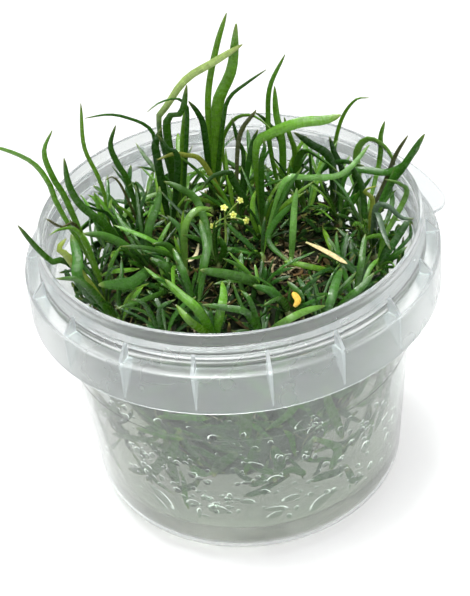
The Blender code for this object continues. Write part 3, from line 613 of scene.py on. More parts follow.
# The open patch shows bare amber roots.
PATCH_ROOTS = 110
AMBER_TINTS = ((0.11, 0.066, 0.025), (0.045, 0.033, 0.016), (0.24, 0.20, 0.11), (0.022, 0.022, 0.010))
for i in range(PATCH_ROOTS):
    angle = rng.uniform(0, 2 * math.pi)
    away = OPEN_RADIUS * math.sqrt(rng.random())
    x, y = OPEN_PATCH[0] + away * math.cos(angle), OPEN_PATCH[1] + away * math.sin(angle)
    heading = rng.uniform(0, 2 * math.pi)
    points = []
    for j in range(4):
        points.append(rim_point(x, y, bed_level(x, y) + rng.uniform(-0.9, 1.6)))
        heading += rng.uniform(-1.1, 1.1)
        x += 1.7 * math.cos(heading)
        y += 1.7 * math.sin(heading)
    add_root(points, rng.uniform(0.12, 0.38), 0.06, rng.choice(AMBER_TINTS), 5)

# Old leaves hang round the side of the mat.
SIDE_SHOOTS = 420
SIDE_TINTS = ((0.016, 0.055, 0.008), (0.03, 0.10, 0.01), (0.05, 0.16, 0.015), (0.025, 0.08, 0.012))
for i in range(SIDE_SHOOTS):
    azimuth = i * GOLDEN_ANGLE
    level = -17 - 36 * (i + 0.5) / SIDE_SHOOTS + rng.uniform(-3, 3)
    depth = rng.uniform(0.7, 6.5)
    heading = rng.uniform(0, 2 * math.pi)
    length = rng.uniform(6.0, 15.0)
    points = []
    for j in range(4):
        reach = inner_radius(level) - depth
        angle = math.radians(azimuth)
        points.append(rim_point(reach * math.cos(angle), reach * math.sin(angle), level))
        heading += rng.uniform(-0.4, 0.4)
        azimuth += math.degrees(math.cos(heading) * length / 3 / reach)
        level = min(-14.0, max(-64.5, level + math.sin(heading) * length / 3))
        depth = max(0.7, depth + rng.uniform(-1.2, 1.0))
    tint = rng.choice(SIDE_TINTS)
    face = Vector((points[1].x, points[1].y, 0.0)).normalized()
    add_blade(mat_growth, points, rng.uniform(1.1, 2.4), face, tint, rng, rings=6, sides=5)


def attribute(tree, name):
    node = tree.nodes.new("ShaderNodeAttribute")
    node.attribute_name = name
    return node.outputs


material, tree, output = empty_material("wet_roots")
place = object_place(tree)
crumbs = noise(tree, place, 900.0, 5.0, 0.65)
shade = spread(tree, crumbs, 0.35, 0.68, 0.35, 1.7)
wet = add_node(tree, "ShaderNodeBsdfPrincipled", Specular_IOR_Level=0.1,
               Base_Color=multiplied(tree, attribute(tree, "tint")["Color"], shade),
               Roughness=spread(tree, noise(tree, place, 180.0), 0.3, 0.7, 0.3, 0.7),
               Normal=bumps(tree, 0.7, 0.0006, crumbs))
tree.links.new(wet.outputs[0], output.inputs["Surface"])
core.data.materials.append(material)
tangle = mat_growth.piece("tangle", material)
select_only(core, tangle)
bpy.ops.object.join()
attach(core, "root")
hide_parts("root_mat")

# The plantlets: separate small plants, each with narrow, fleshy, grass-like leaves from one crown.
# Each row is a crown's x and y, then its leaves: look, width and the points passed to the tip.
PLANTLETS = (
    ((-4, 19), (
        ("bright", 2.0, ((-3, 17, 13), (-2, 16, 26), (1, 14, 39), (4, 11, 49))),
        ("bright", 3.8, ((-1, 15, 12), (0, 13, 24), (4, 11, 34), (6, 9, 47))),
        ("mid", 1.4, ((1, 12, 20), (3, 10, 27), (7, 7, 32), (12, 4, 37))),
        ("dark", 2.0, ((-4, 14, 15), (-5, 12, 22), (-7, 10, 27))))),
    ((-12, 17), (
        ("pale", 2.3, ((-15, 14, 18), (-12, 13, 25), (-7, 12, 32), (0, 10, 37), (7, 8, 42))),
        ("mid", 2.6, ((-13, 11, 20), (-9, 10, 24), (-7, 9, 32))),
        ("mid", 1.4, ((-8, 13, 19), (-8, 12, 25), (-10, 10, 28), (-14, 7, 29), (-17, 5, 28))),
        ("bright", 1.6, ((-10, 16, 10), (-9, 16, 17), (-8, 17, 22))))),
    ((-15, 9), (
        ("mid", 1.2, ((-16, 8, 15), (-17, 6, 23), (-22, 2, 29), (-26, -1, 32), (-31, -5, 34))),
        ("dark", 2.6, ((-16, 6, 14), (-16, 5, 19), (-14, 4, 24))),
        ("dark", 2.0, ((-11, 3, 15), (-13, 2, 19), (-15, 1, 24))))),
    ((1, 14), (
        ("bright", 1.3, ((0, 17, 8), (2, 16, 15), (5, 14, 19), (9, 11, 20), (13, 8, 17))),
        ("yellow", 1.7, ((-5, 10, 9), (-9, 8, 13), (-12, 6, 15), (-16, 4, 15))))),
    ((2, 9), (
        ("brown", 1.5, ((4, 10, 14), (9, 8, 24))),
        ("dark", 1.4, ((5, 12, 8), (4, 12, 13), (3, 12, 20))),
        ("dark", 1.8, ((7, 8, 13), (9, 7, 19))))),
    ((14, 20), (
        ("bright", 1.6, ((12, 18, 6), (12, 17, 16), (13, 15, 26), (17, 12, 36))),
        ("bright", 2.3, ((15, 16, 8), (14, 15, 18), (14, 13, 27))),
        ("bright", 1.8, ((18, 19, 2), (17, 18, 10), (16, 18, 15))),
        ("mid", 1.5, ((15, 22, 4), (12, 21, 12), (9, 20, 16))))),
    ((8, 6), (
        ("bright", 3.3, ((8, 7, 13), (12, 6, 18), (19, 5, 21), (25, 5, 21), (29, 5, 22))),
        ("mid", 1.8, ((9, 2, 12), (10, 1, 17), (10, 1, 20))),
        ("dark", 2.3, ((2, 2, 8), (1, 0, 12), (-3, -1, 12), (-6, -2, 9))))),
    ((27, 19), (
        ("bright", 1.3, ((28, 24, -5), (29, 23, 4), (31, 21, 12), (34, 18, 18), (37, 15, 20))),
        ("dark", 1.9, ((30, 20, -5), (28, 19, 3), (27, 18, 8))),
        ("dark", 2.8, ((27, 16, 2), (22, 14, 9), (18, 12, 14))))),
    ((20, 15), (
        ("mid", 2.4, ((18, 15, 0), (20, 14, 7), (24, 11, 6), (28, 9, 3))),
        ("dark", 1.8, ((23, 19, -5), (26, 17, 0), (30, 14, 3), (35, 11, 3))),
        ("mid", 1.0, ((22, 21, -6), (22, 21, -1), (22, 20, 3))))),
    ((8, 0), (
        ("light", 1.9, ((14, 1, 7), (20, 2, 7), (27, 3, 6), (31, 5, 7), (36, 8, 11))),
        ("bright", 1.7, ((6, -2, -2), (6, -1, 3), (7, 0, 6))))),
    ((34, 12), (
        ("bright", 1.7, ((39, 20, -5), (40, 20, 1), (40, 19, 6), (41, 18, 11))),
        ("light", 2.4, ((34, 20, -7), (34, 21, 1), (37, 20, 5), (41, 18, 3), (43, 16, -1))),
        ("brown", 1.5, ((40, 14, -5), (43, 13, 4), (46, 12, 10))))),
    ((34, 5), (
        ("mid", 2.4, ((40, 7, -2), (44, 6, 5), (49, 4, 15))),
        ("dark", 2.0, ((34, 9, -3), (32, 9, 3), (31, 8, 7))),
        ("yellow", 1.6, ((36, 5, -4), (34, 4, 0), (37, 3, 2))))),
    ((28, 12), (
        ("mid", 2.2, ((30, 13, -1), (35, 12, 1), (40, 10, 1), (44, 8, 4), (48, 6, 10))),
        ("dark", 2.4, ((33, 14, -6), (32, 14, -1))),
        ("dark", 2.0, ((29, 15, -6), (27, 15, -2))))),
    ((35, -1), (
        ("light", 1.8, ((44, 4, -3), (43, 4, 1), (39, 4, 3))),
        ("mid", 1.6, ((41, 8, -8), (41, 10, -4), (41, 10, 1))),
        ("grey", 1.9, ((36, -1, -2), (39, -2, -1), (42, -3, -4), (45, -4, -4))),
        ("grey", 2.0, ((36, -3, -2), (37, -9, -4), (38, -13, -6))))),
    ((35, -7), (
        ("dark", 2.4, ((42, -3, -8), (44, -2, -6), (45, -2, -7))),
        ("bright", 2.0, ((37, -7, -7), (34, -7, -6), (32, -7, -7))),
        ("dark", 1.2, ((42, -6, -10), (44, -5, -8), (44, -4, -5))))),
    ((28, -20), (
        ("gloss", 2.0, ((30, -20, -5), (31, -17, -2), (32, -14, 0))),
        ("dark", 2.3, ((30, -16, -12), (27, -14, -8), (22, -12, -5))))),
    ((19, -28), (
        ("mid", 2.4, ((26, -34, -3), (29, -33, -1), (32, -31, 1))),
        ("gloss", 2.6, ((21, -34, -5), (23, -30, -2), (25, -24, -2))))),
    ((5, -31), (
        ("light", 2.2, ((10, -41, -3), (15, -39, -2), (20, -35, -4))),
        ("mid", 2.2, ((2, -39, -1), (-2, -39, 1), (-8, -38, 2))),
        ("mid", 1.7, ((3, -32, -3), (1, -30, -1))))),
    ((26, -10), (
        ("bright", 1.8, ((20, -15, -8), (15, -15, -6), (12, -15, -5))),
        ("dark", 2.0, ((29, -8, -12), (29, -5, -8))))),
    ((14, -8), (
        ("light", 2.1, ((15, -7, -3), (16, -4, 3), (17, -2, 7))),
        ("mid", 2.0, ((9, -3, -7), (12, -1, -2), (17, 0, 2))))),
    ((7, -6), (
        ("mid", 1.5, ((3, -6, -4), (-1, -5, 1))),
        ("bright", 1.3, ((8, -4, -6), (7, -3, -2))))),
    ((12, -24), (
        ("gloss", 2.4, ((9, -26, -6), (4, -26, -3))),
        ("mid", 2.0, ((15, -30, -5), (12, -27, -2))),
        ("gloss", 2.3, ((10, -31, -4), (6, -34, -3))))),
    ((6, -17), (
        ("gloss", 2.9, ((4, -20, -6), (-1, -21, -3), (-8, -22, 0))),
        ("mid", 1.8, ((2, -14, -8), (2, -9, -5))))),
    ((-6, -30), (
        ("bright", 2.6, ((-4, -37, -1), (-3, -34, 1), (-3, -30, 2))),
        ("bright", 2.8, ((-9, -35, -2), (-13, -33, 2), (-16, -31, 5))),
        ("bright", 2.4, ((-11, -40, -1), (-14, -37, 2))))),
    ((-10, -21), (
        ("gloss", 2.5, ((-7, -17, -2), (-6, -14, 1), (-7, -10, 6))),
        ("mid", 2.2, ((-12, -20, -2), (-14, -15, 2))))),
    ((-12, -8), (
        ("light", 2.2, ((-11, -8, 2), (-8, -6, 6), (-4, -4, 5))),
        ("gloss", 2.2, ((-15, -10, -1), (-19, -11, 1))),
        ("gloss", 1.8, ((-12, -3, -2), (-15, -1, 2))))),
    ((-4, -7), (
        ("mid", 2.2, ((-2, -9, -4), (-3, -9, 0))),
        ("mid", 1.9, ((-6, -12, -5), (-6, -13, -1))),
        ("gloss", 2.4, ((-7, 2, 2), (-11, 4, 6), (-15, 5, 8))))),
    ((-20, -5), (
        ("gloss", 2.5, ((-20, -5, 0), (-17, -2, 6), (-16, 0, 10))),
        ("gloss", 2.7, ((-25, -9, -1), (-30, -10, 4), (-35, -11, 6))),
        ("matte", 3.5, ((-21, -14, -5), (-25, -19, -4), (-32, -24, 0))),
        ("mid", 1.9, ((-18, -14, -8), (-18, -18, -10))))),
    ((-16, -13), (
        ("gloss", 2.3, ((-16, -12, -6), (-20, -11, -3))),
        ("mid", 1.6, ((-18, -22, -5), (-23, -26, -3), (-28, -29, -2))))),
    ((-34, 1), (
        ("bright", 1.9, ((-39, 2, 7), (-41, 0, 15), (-42, -2, 24), (-39, -4, 31))),
        ("bright", 1.7, ((-41, 0, 7), (-42, -2, 15), (-45, -4, 23), (-52, -6, 29), (-56, -8, 30))),
        ("brown", 1.5, ((-37, -6, 5), (-40, -9, 7), (-43, -12, 12))))),
    ((-25, 3), (
        ("mid", 2.4, ((-30, -3, 2), (-35, -5, 10), (-37, -6, 17), (-37, -7, 25))),
        ("bright", 1.3, ((-30, 6, -3), (-30, 6, 5), (-31, 5, 12), (-33, 4, 21), (-32, 2, 34))),
        ("dark", 1.2, ((-29, 2, 1), (-32, 0, 5), (-35, -2, 8))))),
    ((-22, 11), (
        ("mid", 1.9, ((-24, 10, 5), (-26, 9, 12), (-27, 8, 18), (-25, 7, 24))),
        ("brown", 0.9, ((-25, 4, 7), (-27, 3, 12), (-29, 2, 12))),
        ("mid", 1.2, ((-22, 7, 6), (-24, 6, 7))))),
    ((-32, -11), (
        ("mid", 1.9, ((-39, -18, 3), (-42, -20, 5), (-45, -22, 11), (-48, -24, 19))),
        ("bright", 1.9, ((-34, -13, 3), (-35, -12, 7))),
        ("bright", 1.6, ((-35, -15, 8), (-39, -17, 12), (-42, -19, 12))))),
    ((-29, -19), (
        ("gloss", 3.3, ((-36, -25, 2), (-36, -22, 7), (-37, -18, 11))),
        ("mid", 2.3, ((-35, -28, 4), (-41, -28, 6))),
        ("yellow", 2.5, ((-38, -22, 7), (-40, -22, 10), (-38, -21, 12))))),
    ((-18, -28), (
        ("mid", 1.6, ((-21, -36, 2), (-24, -36, 4))),
        ("mid", 1.6, ((-18, -36, 0), (-14, -35, 2))))),
)
# The brightest and darkest leaf looks are one green painted lighter and darker: painted light on the lit
# and backlit leaves, painted shade on those deep in the clump.
LOOKS = {
    "bright": (0.12, 0.30, 0.020), "mid": (0.040, 0.142, 0.010), "dark": (0.022, 0.090, 0.008),
    "pale": (0.30, 0.42, 0.13), "yellow": (0.26, 0.34, 0.05), "brown": (0.085, 0.095, 0.030),
    "light": (0.13, 0.30, 0.045), "grey": (0.09, 0.15, 0.085), "gloss": (0.052, 0.165, 0.018),
    "matte": (0.042, 0.13, 0.017),
}
VIEWER = Vector((0.0, -0.82, 0.57))
SLIDE = Vector((0.0, 1.0, -0.69))
SLIDE_STEP = 0.8
SLIDES = (0, 1, -1, 2, -2, 3, -3, 4, -4, 5, -5, 6, -6, 7, -7)
LIFTS = (0.0, 1.3, -1.3, 2.6)
CROWN_LIFT = 0.5
LEAF_START = Vector((0, 0, 0.7))
NEAR_TIP = 0.45
SLIMMER = 0.8
# Where a leaf is widest along its length, for those that don't swell near the middle. The pairs
# count plantlets and their leaves from 1.
PEAKS = {(1, 2): 0.38, (2, 1): 0.72, (7, 1): 0.72, (5, 1): 0.7, (28, 3): 0.6}


def reaches(node, tip):
    """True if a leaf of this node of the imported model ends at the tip."""
    want = tip * MM
    return min((vert.co - want).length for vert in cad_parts[node].data.vertices) < NEAR_TIP * MM


def settle(node, start, points):
    """The leaf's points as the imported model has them: slid along the line of sight to stay clear."""
    for lift in LIFTS:
        for step in SLIDES:
            shift = SLIDE * (step * SLIDE_STEP) + Vector((0, 0, lift))
            moved = [start] + [p + shift * min(1.0, (i + 1) / 2) for i, p in enumerate(points)]
            if reaches(node, moved[-1]):
                return moved
    return None


def vary(tint, rng, amount=0.12):
    """The tint a little lighter or darker, yellower or bluer."""
    light = 1 + rng.uniform(-amount, amount)
    warm = 1 + rng.uniform(-amount, amount) * 0.8
    return (tint[0] * light * warm, tint[1] * light, tint[2] * light / warm)


# Rings of a crown from the bottom: height, half sizes and tint.
CROWN_RINGS = ((0.0, 1.0, 1.0, (0.16, 0.15, 0.06)), (0.7, 1.15, 1.25, (0.22, 0.24, 0.09)),
               (1.5, 0.95, 1.1, (0.24, 0.30, 0.10)), (2.2, 0.7, 0.8, (0.16, 0.28, 0.06)),
               (2.8, 0.35, 0.4, (0.10, 0.22, 0.03)))


def add_crown(growth, place, size=1.0):
    """The pale, swollen base that the leaves leave from."""
    heights, halves, depths, tints = zip(*CROWN_RINGS)
    line = [place + Vector((0, 0, height * size)) for height in heights]
    growth.sweep(line, Vector((0, 1, 0)), [h * size for h in halves], [d * size for d in depths], tints, 8)


def leaf_tree(growth):
    return BVHTree.FromPolygons(growth.points, growth.faces)


def add_leaf(name, points, width, face, tint, **shape):
    """A leaf of the named plantlet, kept as a search tree too, so that later ones stay clear."""
    leaf = Growth()
    add_blade(leaf, points, width, face, tint, rng, **shape)
    growths[name].take(leaf)
    placed_trees.append((name, leaf_tree(leaf)))


FLOWERING = 27
placed_trees = []
growths = {}
crowns = []
rng = random.Random(23)
for number, ((x, y), leaves) in enumerate(PLANTLETS, 1):
    name = "flowering_plantlet" if number == FLOWERING else "plantlet_%02d" % number
    crown = rim_point(x, y, bed_level(x, y) + CROWN_LIFT)
    growths[name] = Growth()
    crowns.append((name, crown))
    add_crown(growths[name], crown)
    for count, (look, width, points) in enumerate(leaves, 1):
        placed = settle(name, crown + LEAF_START, [rim_point(*p) for p in points])
        if placed:
            add_leaf(name, placed, width * SLIMMER, VIEWER, vary(LOOKS[look], rng), rings=22,
                     peak=PEAKS.get((number, count)), low=LOOKS["mid"] if look == "pale" else None)

# More plantlets that fill the bed between those, and sprigs that hang between the root mat and
# the wall, where they press close to the plastic and show through it.
BED_FILLERS = 6
FILLER_SPACING = 6.2
FILLER_LEAVES = 3
FILLER_TRIES = 60
FILLER_TURNS = 200
turns = 0
while len(crowns) < len(PLANTLETS) + BED_FILLERS:
    turns += 1
    radius = BED_RADIUS * math.sqrt(1 - turns / FILLER_TURNS)
    angle = math.radians(90 + turns * GOLDEN_ANGLE)
    x, y = radius * math.cos(angle), radius * math.sin(angle)
    if all(math.hypot(c.x - x, c.y - y) > FILLER_SPACING for name, c in crowns):
        name = "plantlet_%02d" % (len(crowns) + 1)
        crowns.append((name, rim_point(x, y, bed_level(x, y) + CROWN_LIFT)))
draws = random.Random(11)
for name, crown in crowns[len(PLANTLETS):]:
    growths[name] = Growth()
    add_crown(growths[name], crown)
    outward = math.atan2(crown.y, crown.x)
    found = tries = 0
    while found < FILLER_LEAVES and tries < FILLER_TRIES:
        tries += 1
        heading = outward + math.radians(draws.uniform(-100, 100))
        lean = draws.uniform(5, 30)
        curl = draws.uniform(10, 75)
        length = draws.uniform(10, 19)
        width = draws.uniform(1.2, 1.9)
        points = [crown + LEAF_START]
        for i in range(3):
            tilt = math.radians(lean + curl * i / 2)
            points.append(points[-1] + slanted(heading, tilt) * (length / 3))
        if reaches(name, points[-1]):
            found += 1
            face = Vector((-math.cos(heading), -math.sin(heading), 0.8)).normalized()
            look = LOOKS[rng.choice(("mid", "bright", "dark", "mid"))]
            add_leaf(name, points, width, face, vary(look, rng), rings=22)

WALL_SPRIGS = (
    ((240, -37), (
        (1.3, ((234, -41), (221, -45), (213, -48))),
        (1.8, ((240, -43), (236, -49), (228, -58))),
        (1.1, ((236, -36), (229, -41))))),
    ((246, -35), (
        (1.7, ((242, -44), (241, -49), (242, -55))),
        (1.4, ((248, -39), (250, -42), (252, -44))))),
    ((256, -49), (
        (2.0, ((259, -45), (262, -43), (265, -41))),
        (1.7, ((252, -49), (248, -47))))),
    ((199, -42), (
        (2.0, ((208, -42), (215, -39), (223, -33))),
        (1.0, ((201, -49), (204, -53), (208, -57))))),
    ((277, -22), (
        (2.2, ((271, -25), (269, -30), (269, -36))),
        (1.6, ((285, -25), (283, -30), (275, -34))))),
    ((296, -25), (
        (1.7, ((297, -31), (300, -38), (303, -46))),
        (1.9, ((302, -30), (308, -27))))),
    ((292, -42), (
        (2.1, ((289, -44), (288, -48))),
        (1.8, ((297, -45), (301, -49), (298, -55))))),
    ((277, -52), (
        (1.5, ((281, -50), (284, -50), (288, -53))),
        (1.3, ((273, -52), (268, -53))),
        (2.0, ((279, -47), (277, -40))))),
    ((306, -58), (
        (1.4, ((307, -61), (309, -64), (314, -65))),
        (1.6, ((301, -57), (295, -56), (290, -56))))),
    ((326, -30), (
        (1.2, ((330, -36), (326, -46), (320, -52))),
        (1.4, ((322, -34), (322, -42))))),
    ((30, -34), (
        (2.2, ((22, -37), (14, -44))),
        (2.0, ((36, -31), (41, -24))),
        (1.8, ((39, -38), (46, -46))))),
    ((88, -32), (
        (2.3, ((96, -36), (104, -43))),
        (2.0, ((81, -37), (77, -46))))),
    ((148, -38), (
        (2.2, ((155, -34), (161, -28))),
        (2.0, ((140, -41), (134, -48))),
        (1.9, ((155, -44), (160, -53))))),
)
WALL_STANDOFFS = (1.6, 2.8, 4.0, 5.2)


def wall_point(azimuth, level, standoff):
    radius = inner_radius(level) - standoff
    angle = math.radians(azimuth)
    return rim_point(radius * math.cos(angle), radius * math.sin(angle), level)


PRESS = 0.9
NEAREST = 0.9
PRESSED_WIDER = 1.5
SPRIG_CROWN = 0.6
SPRIG_LOOKS = ("mid", "matte", "dark", "mid", "matte", "mid", "dark")
for number, ((azimuth, level), leaves) in enumerate(WALL_SPRIGS):
    name = "sprig_%02d" % (number + 1)
    growth = growths[name] = Growth()
    crown = wall_point(azimuth, level, WALL_STANDOFFS[0]) - Vector((0, 0, 1.4 * SPRIG_CROWN))
    add_crown(growth, crown, SPRIG_CROWN)
    face = Vector((math.cos(math.radians(azimuth)), math.sin(math.radians(azimuth)), 0.0))
    for i, (width, places) in enumerate(leaves):
        for standoff in WALL_STANDOFFS:
            if reaches(name, wall_point(*places[-1], standoff)):
                nearer = max(NEAREST, standoff - PRESS)
                placed = [crown + Vector((0, 0, 0.8))] + [wall_point(*p, nearer) for p in places]
                look = LOOKS[SPRIG_LOOKS[(number + i) % len(SPRIG_LOOKS)]]
                add_blade(growth, placed, width * PRESSED_WIDER, face, vary(look, rng), rng, rings=18)
                break

# Smaller leaves of the same plants, too many and too thin for the solids. They stay below the
# tips of the long ones and fill the clump to its dark, tangled depth.
SMALL_IN_FRONT, SMALL_AT_BACK = 12, 9
SMALL_TRIES = 7
SMALL_REACH = 43.5
BACK_FROM, FRONT_FROM = 4, -12
FRONT_SHORTER = 0.7
# The small leaves in front mostly take the darkest looks, as painted shade, and those at the back the
# brighter looks, as painted backlight.
FRONT_SHADED_LOOKS = ("dark", "mid", "dark", "dark", "gloss", "mid", "dark", "bright")
BACK_LIT_LOOKS = ("mid", "bright", "mid", "light", "dark", "bright", "mid", "bright")
for name, crown in crowns:
    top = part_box(name)[1][2] / MM
    at_back = crown.y > BACK_FROM
    for i in range(SMALL_AT_BACK if at_back else SMALL_IN_FRONT):
        for attempt in range(SMALL_TRIES):
            heading = rng.uniform(0, 2 * math.pi)
            lean = rng.uniform(0.1, 0.9)
            curl = rng.uniform(0.1, 1.0)
            length = rng.uniform(8.0, 24.0) * (FRONT_SHORTER if crown.y < FRONT_FROM else 1.0)
            points = [crown + Vector((0.5 * math.cos(heading), 0.5 * math.sin(heading), 0.8))]
            for j in range(4):
                tilt = lean + curl * j / 3
                points.append(points[-1] + slanted(heading, tilt) * (length / 4))
                heading += rng.uniform(-0.35, 0.35)
            tip = points[-1]
            if math.hypot(tip.x, tip.y) > SMALL_REACH or tip.z > top:
                continue
            if min(from_patch(p.x, p.y) for p in points[1:]) < OPEN_RADIUS - 1:
                continue
            trial = Growth()
            width = rng.uniform(0.6, 1.3)
            face = Vector((rng.uniform(-0.5, 0.5), -0.6, 0.7)).normalized()
            look = LOOKS[rng.choice(BACK_LIT_LOOKS if at_back else FRONT_SHADED_LOOKS)]
            add_blade(trial, points, width, face, vary(look, rng, 0.2), rng, rings=8, sides=6)
            tree = leaf_tree(trial)
            if any(other != name and tree.overlap(grown) for other, grown in placed_trees):
                continue
            placed_trees.append((name, tree))
            growths[name].take(trial)
            break

# The flower stalk of one plantlet: a thin stalk whose stems spread to five small flowers of five
# pale yellow-green petals.
STALK_TOP = rim_point(-1, -3, 1)
FLOWERS = ((3, -2, 5), (-1, -3, 4), (1, -5, 3), (4, -5, 1), (-4, -6, 1))
flowering = growths["flowering_plantlet"]
root = dict(crowns)["flowering_plantlet"] + LEAF_START
STALK_GREEN = (0.22, 0.34, 0.06)
PETAL = (0.56, 0.64, 0.11)
PETAL_END = (0.66, 0.72, 0.22)
HEART = (0.66, 0.62, 0.10)
PETALS = 5


def add_stalk(start, end, sag, thin, stations, sides):
    """A thin round stalk that bows a little on its way."""
    line = route([start, (start + end) / 2 + sag, end], [i / (stations - 1) for i in range(stations)])
    halves = [thin] * stations
    flowering.sweep(line, VIEWER, halves, halves, [STALK_GREEN] * stations, sides)


add_stalk(root, STALK_TOP, Vector((1, 0, -0.35)), 0.3, 10, 8)
for flower in FLOWERS:
    head = rim_point(*flower)
    add_stalk(STALK_TOP, head, Vector((0, 0, 0.4)), 0.17, 7, 6)
    facing = ((head - STALK_TOP).normalized() + VIEWER).normalized()
    aim = facing.to_track_quat("Z", "Y").to_matrix()
    heart = [head + facing * h for h in (-0.25, 0.0, 0.25, 0.4)]
    flowering.sweep(heart, aim.col[0], [0.2, 0.45, 0.4, 0.15], [0.2, 0.45, 0.4, 0.15],
                    [STALK_GREEN, PETAL, HEART, HEART], 8)
    for i in range(PETALS):
        turn = 2 * math.pi * i / PETALS
        out = aim @ Vector((math.cos(turn), math.sin(turn), 0.0))
        petal = [head + out * r + facing * h
                 for r, h in ((0.15, 0.1), (0.45, 0.2), (0.75, 0.18), (1.0, 0.05))]
        flowering.sweep(petal, facing, [0.18, 0.36, 0.32, 0.08], [0.07, 0.1, 0.08, 0.05],
                        [PETAL, PETAL, PETAL_END, PETAL_END], 6)

# Living leaf: fine streaks along it, faint cross walls and a wet skin that shines in patches.
material, tree, output = empty_material("living_leaf")
place = object_place(tree)
along = add_node(tree, "ShaderNodeSeparateXYZ", Vector=attribute(tree, "place")["Vector"]).outputs
stretch = add_node(tree, "ShaderNodeCombineXYZ", X=along["X"], Z=along["Z"],
                   Y=maths(tree, "MULTIPLY", along["Y"], 0.06))
veins = noise(tree, stretch.outputs[0], 7.0, 3.0, 0.6)
cross_walls = maths(tree, "SINE", maths(tree, "MULTIPLY", along["Y"], 2.9))
ridge = spread(tree, cross_walls, 0.8, 1.0, 0.0, 1.0)
streak = spread(tree, veins, 0.3, 0.7, 0.72, 1.3)
light = spread(tree, noise(tree, place, 420.0), 0.3, 0.7, 0.86, 1.16)
shade = maths(tree, "MULTIPLY_ADD", ridge, 0.14, maths(tree, "MULTIPLY", streak, light))
green = multiplied(tree, attribute(tree, "tint")["Color"], shade)
relief = maths(tree, "MULTIPLY_ADD", ridge, 0.25, veins)
skin = maths(tree, "MULTIPLY_ADD", noise(tree, place, 1700.0, 2.0), 0.8, relief)
leaf = add_node(tree, "ShaderNodeBsdfPrincipled", Base_Color=green, Specular_IOR_Level=0.85,
                Roughness=spread(tree, noise(tree, place, 700.0, 2.0), 0.4, 0.6, 0.13, 0.42),
                Normal=bumps(tree, 0.4, 0.0002, skin)).outputs[0]
through = add_node(tree, "ShaderNodeBsdfTranslucent", Color=multiplied(tree, green, (1.5, 1.35, 0.8)))
tree.links.new(mixed(tree, 0.28, leaf, through.outputs[0]), output.inputs["Surface"])
for name, growth in growths.items():
    plant = growth.piece("green_" + name, material)
    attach(plant, "root")
    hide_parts(name)

# Loose pieces of dead leaf that lie on the clump: straw-coloured, yellow and dry. They grew with
# the plants and came off, so each is a flat blade without a crown, raised to where it rests.
LOOSE_LEAVES = (
    (1.3, (0.62, 0.52, 0.26), ((18, -9, -5), (22, -13, -5), (27, -18, -6))),
    (1.6, (0.70, 0.44, 0.05), ((13, -33, -5), (14, -32, -4), (13, -30, -3))),
    (1.0, (0.66, 0.58, 0.34), ((-8, -7, -3), (-9, -9, -5), (-11, -10, -6))),
)
material, tree, output = empty_material("dry_leaf")
fleck = noise(tree, object_place(tree), 1500.0, 4.0)
straw = multiplied(tree, attribute(tree, "tint")["Color"], spread(tree, fleck, 0.3, 0.7, 0.6, 1.15))
dry = add_node(tree, "ShaderNodeBsdfPrincipled", Base_Color=straw, Roughness=0.7,
               Normal=bumps(tree, 0.5, 0.0002, fleck))
tree.links.new(dry.outputs[0], output.inputs["Surface"])
for number, (width, look, points) in enumerate(LOOSE_LEAVES):
    name = "loose_leaf_%d" % (number + 1)
    raised = [rim_point(*p) for p in points]
    while not reaches(name, raised[-1]) and raised[-1].z < RIM + 20:
        raised = [p + Vector((0, 0, 0.7)) for p in raised]
    growth = Growth()
    add_blade(growth, raised, width, Vector((0, -0.3, 1)), look, rng, rings=12)
    dead = growth.piece("dry_" + name, material)
    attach(dead, "root")
    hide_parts(name)

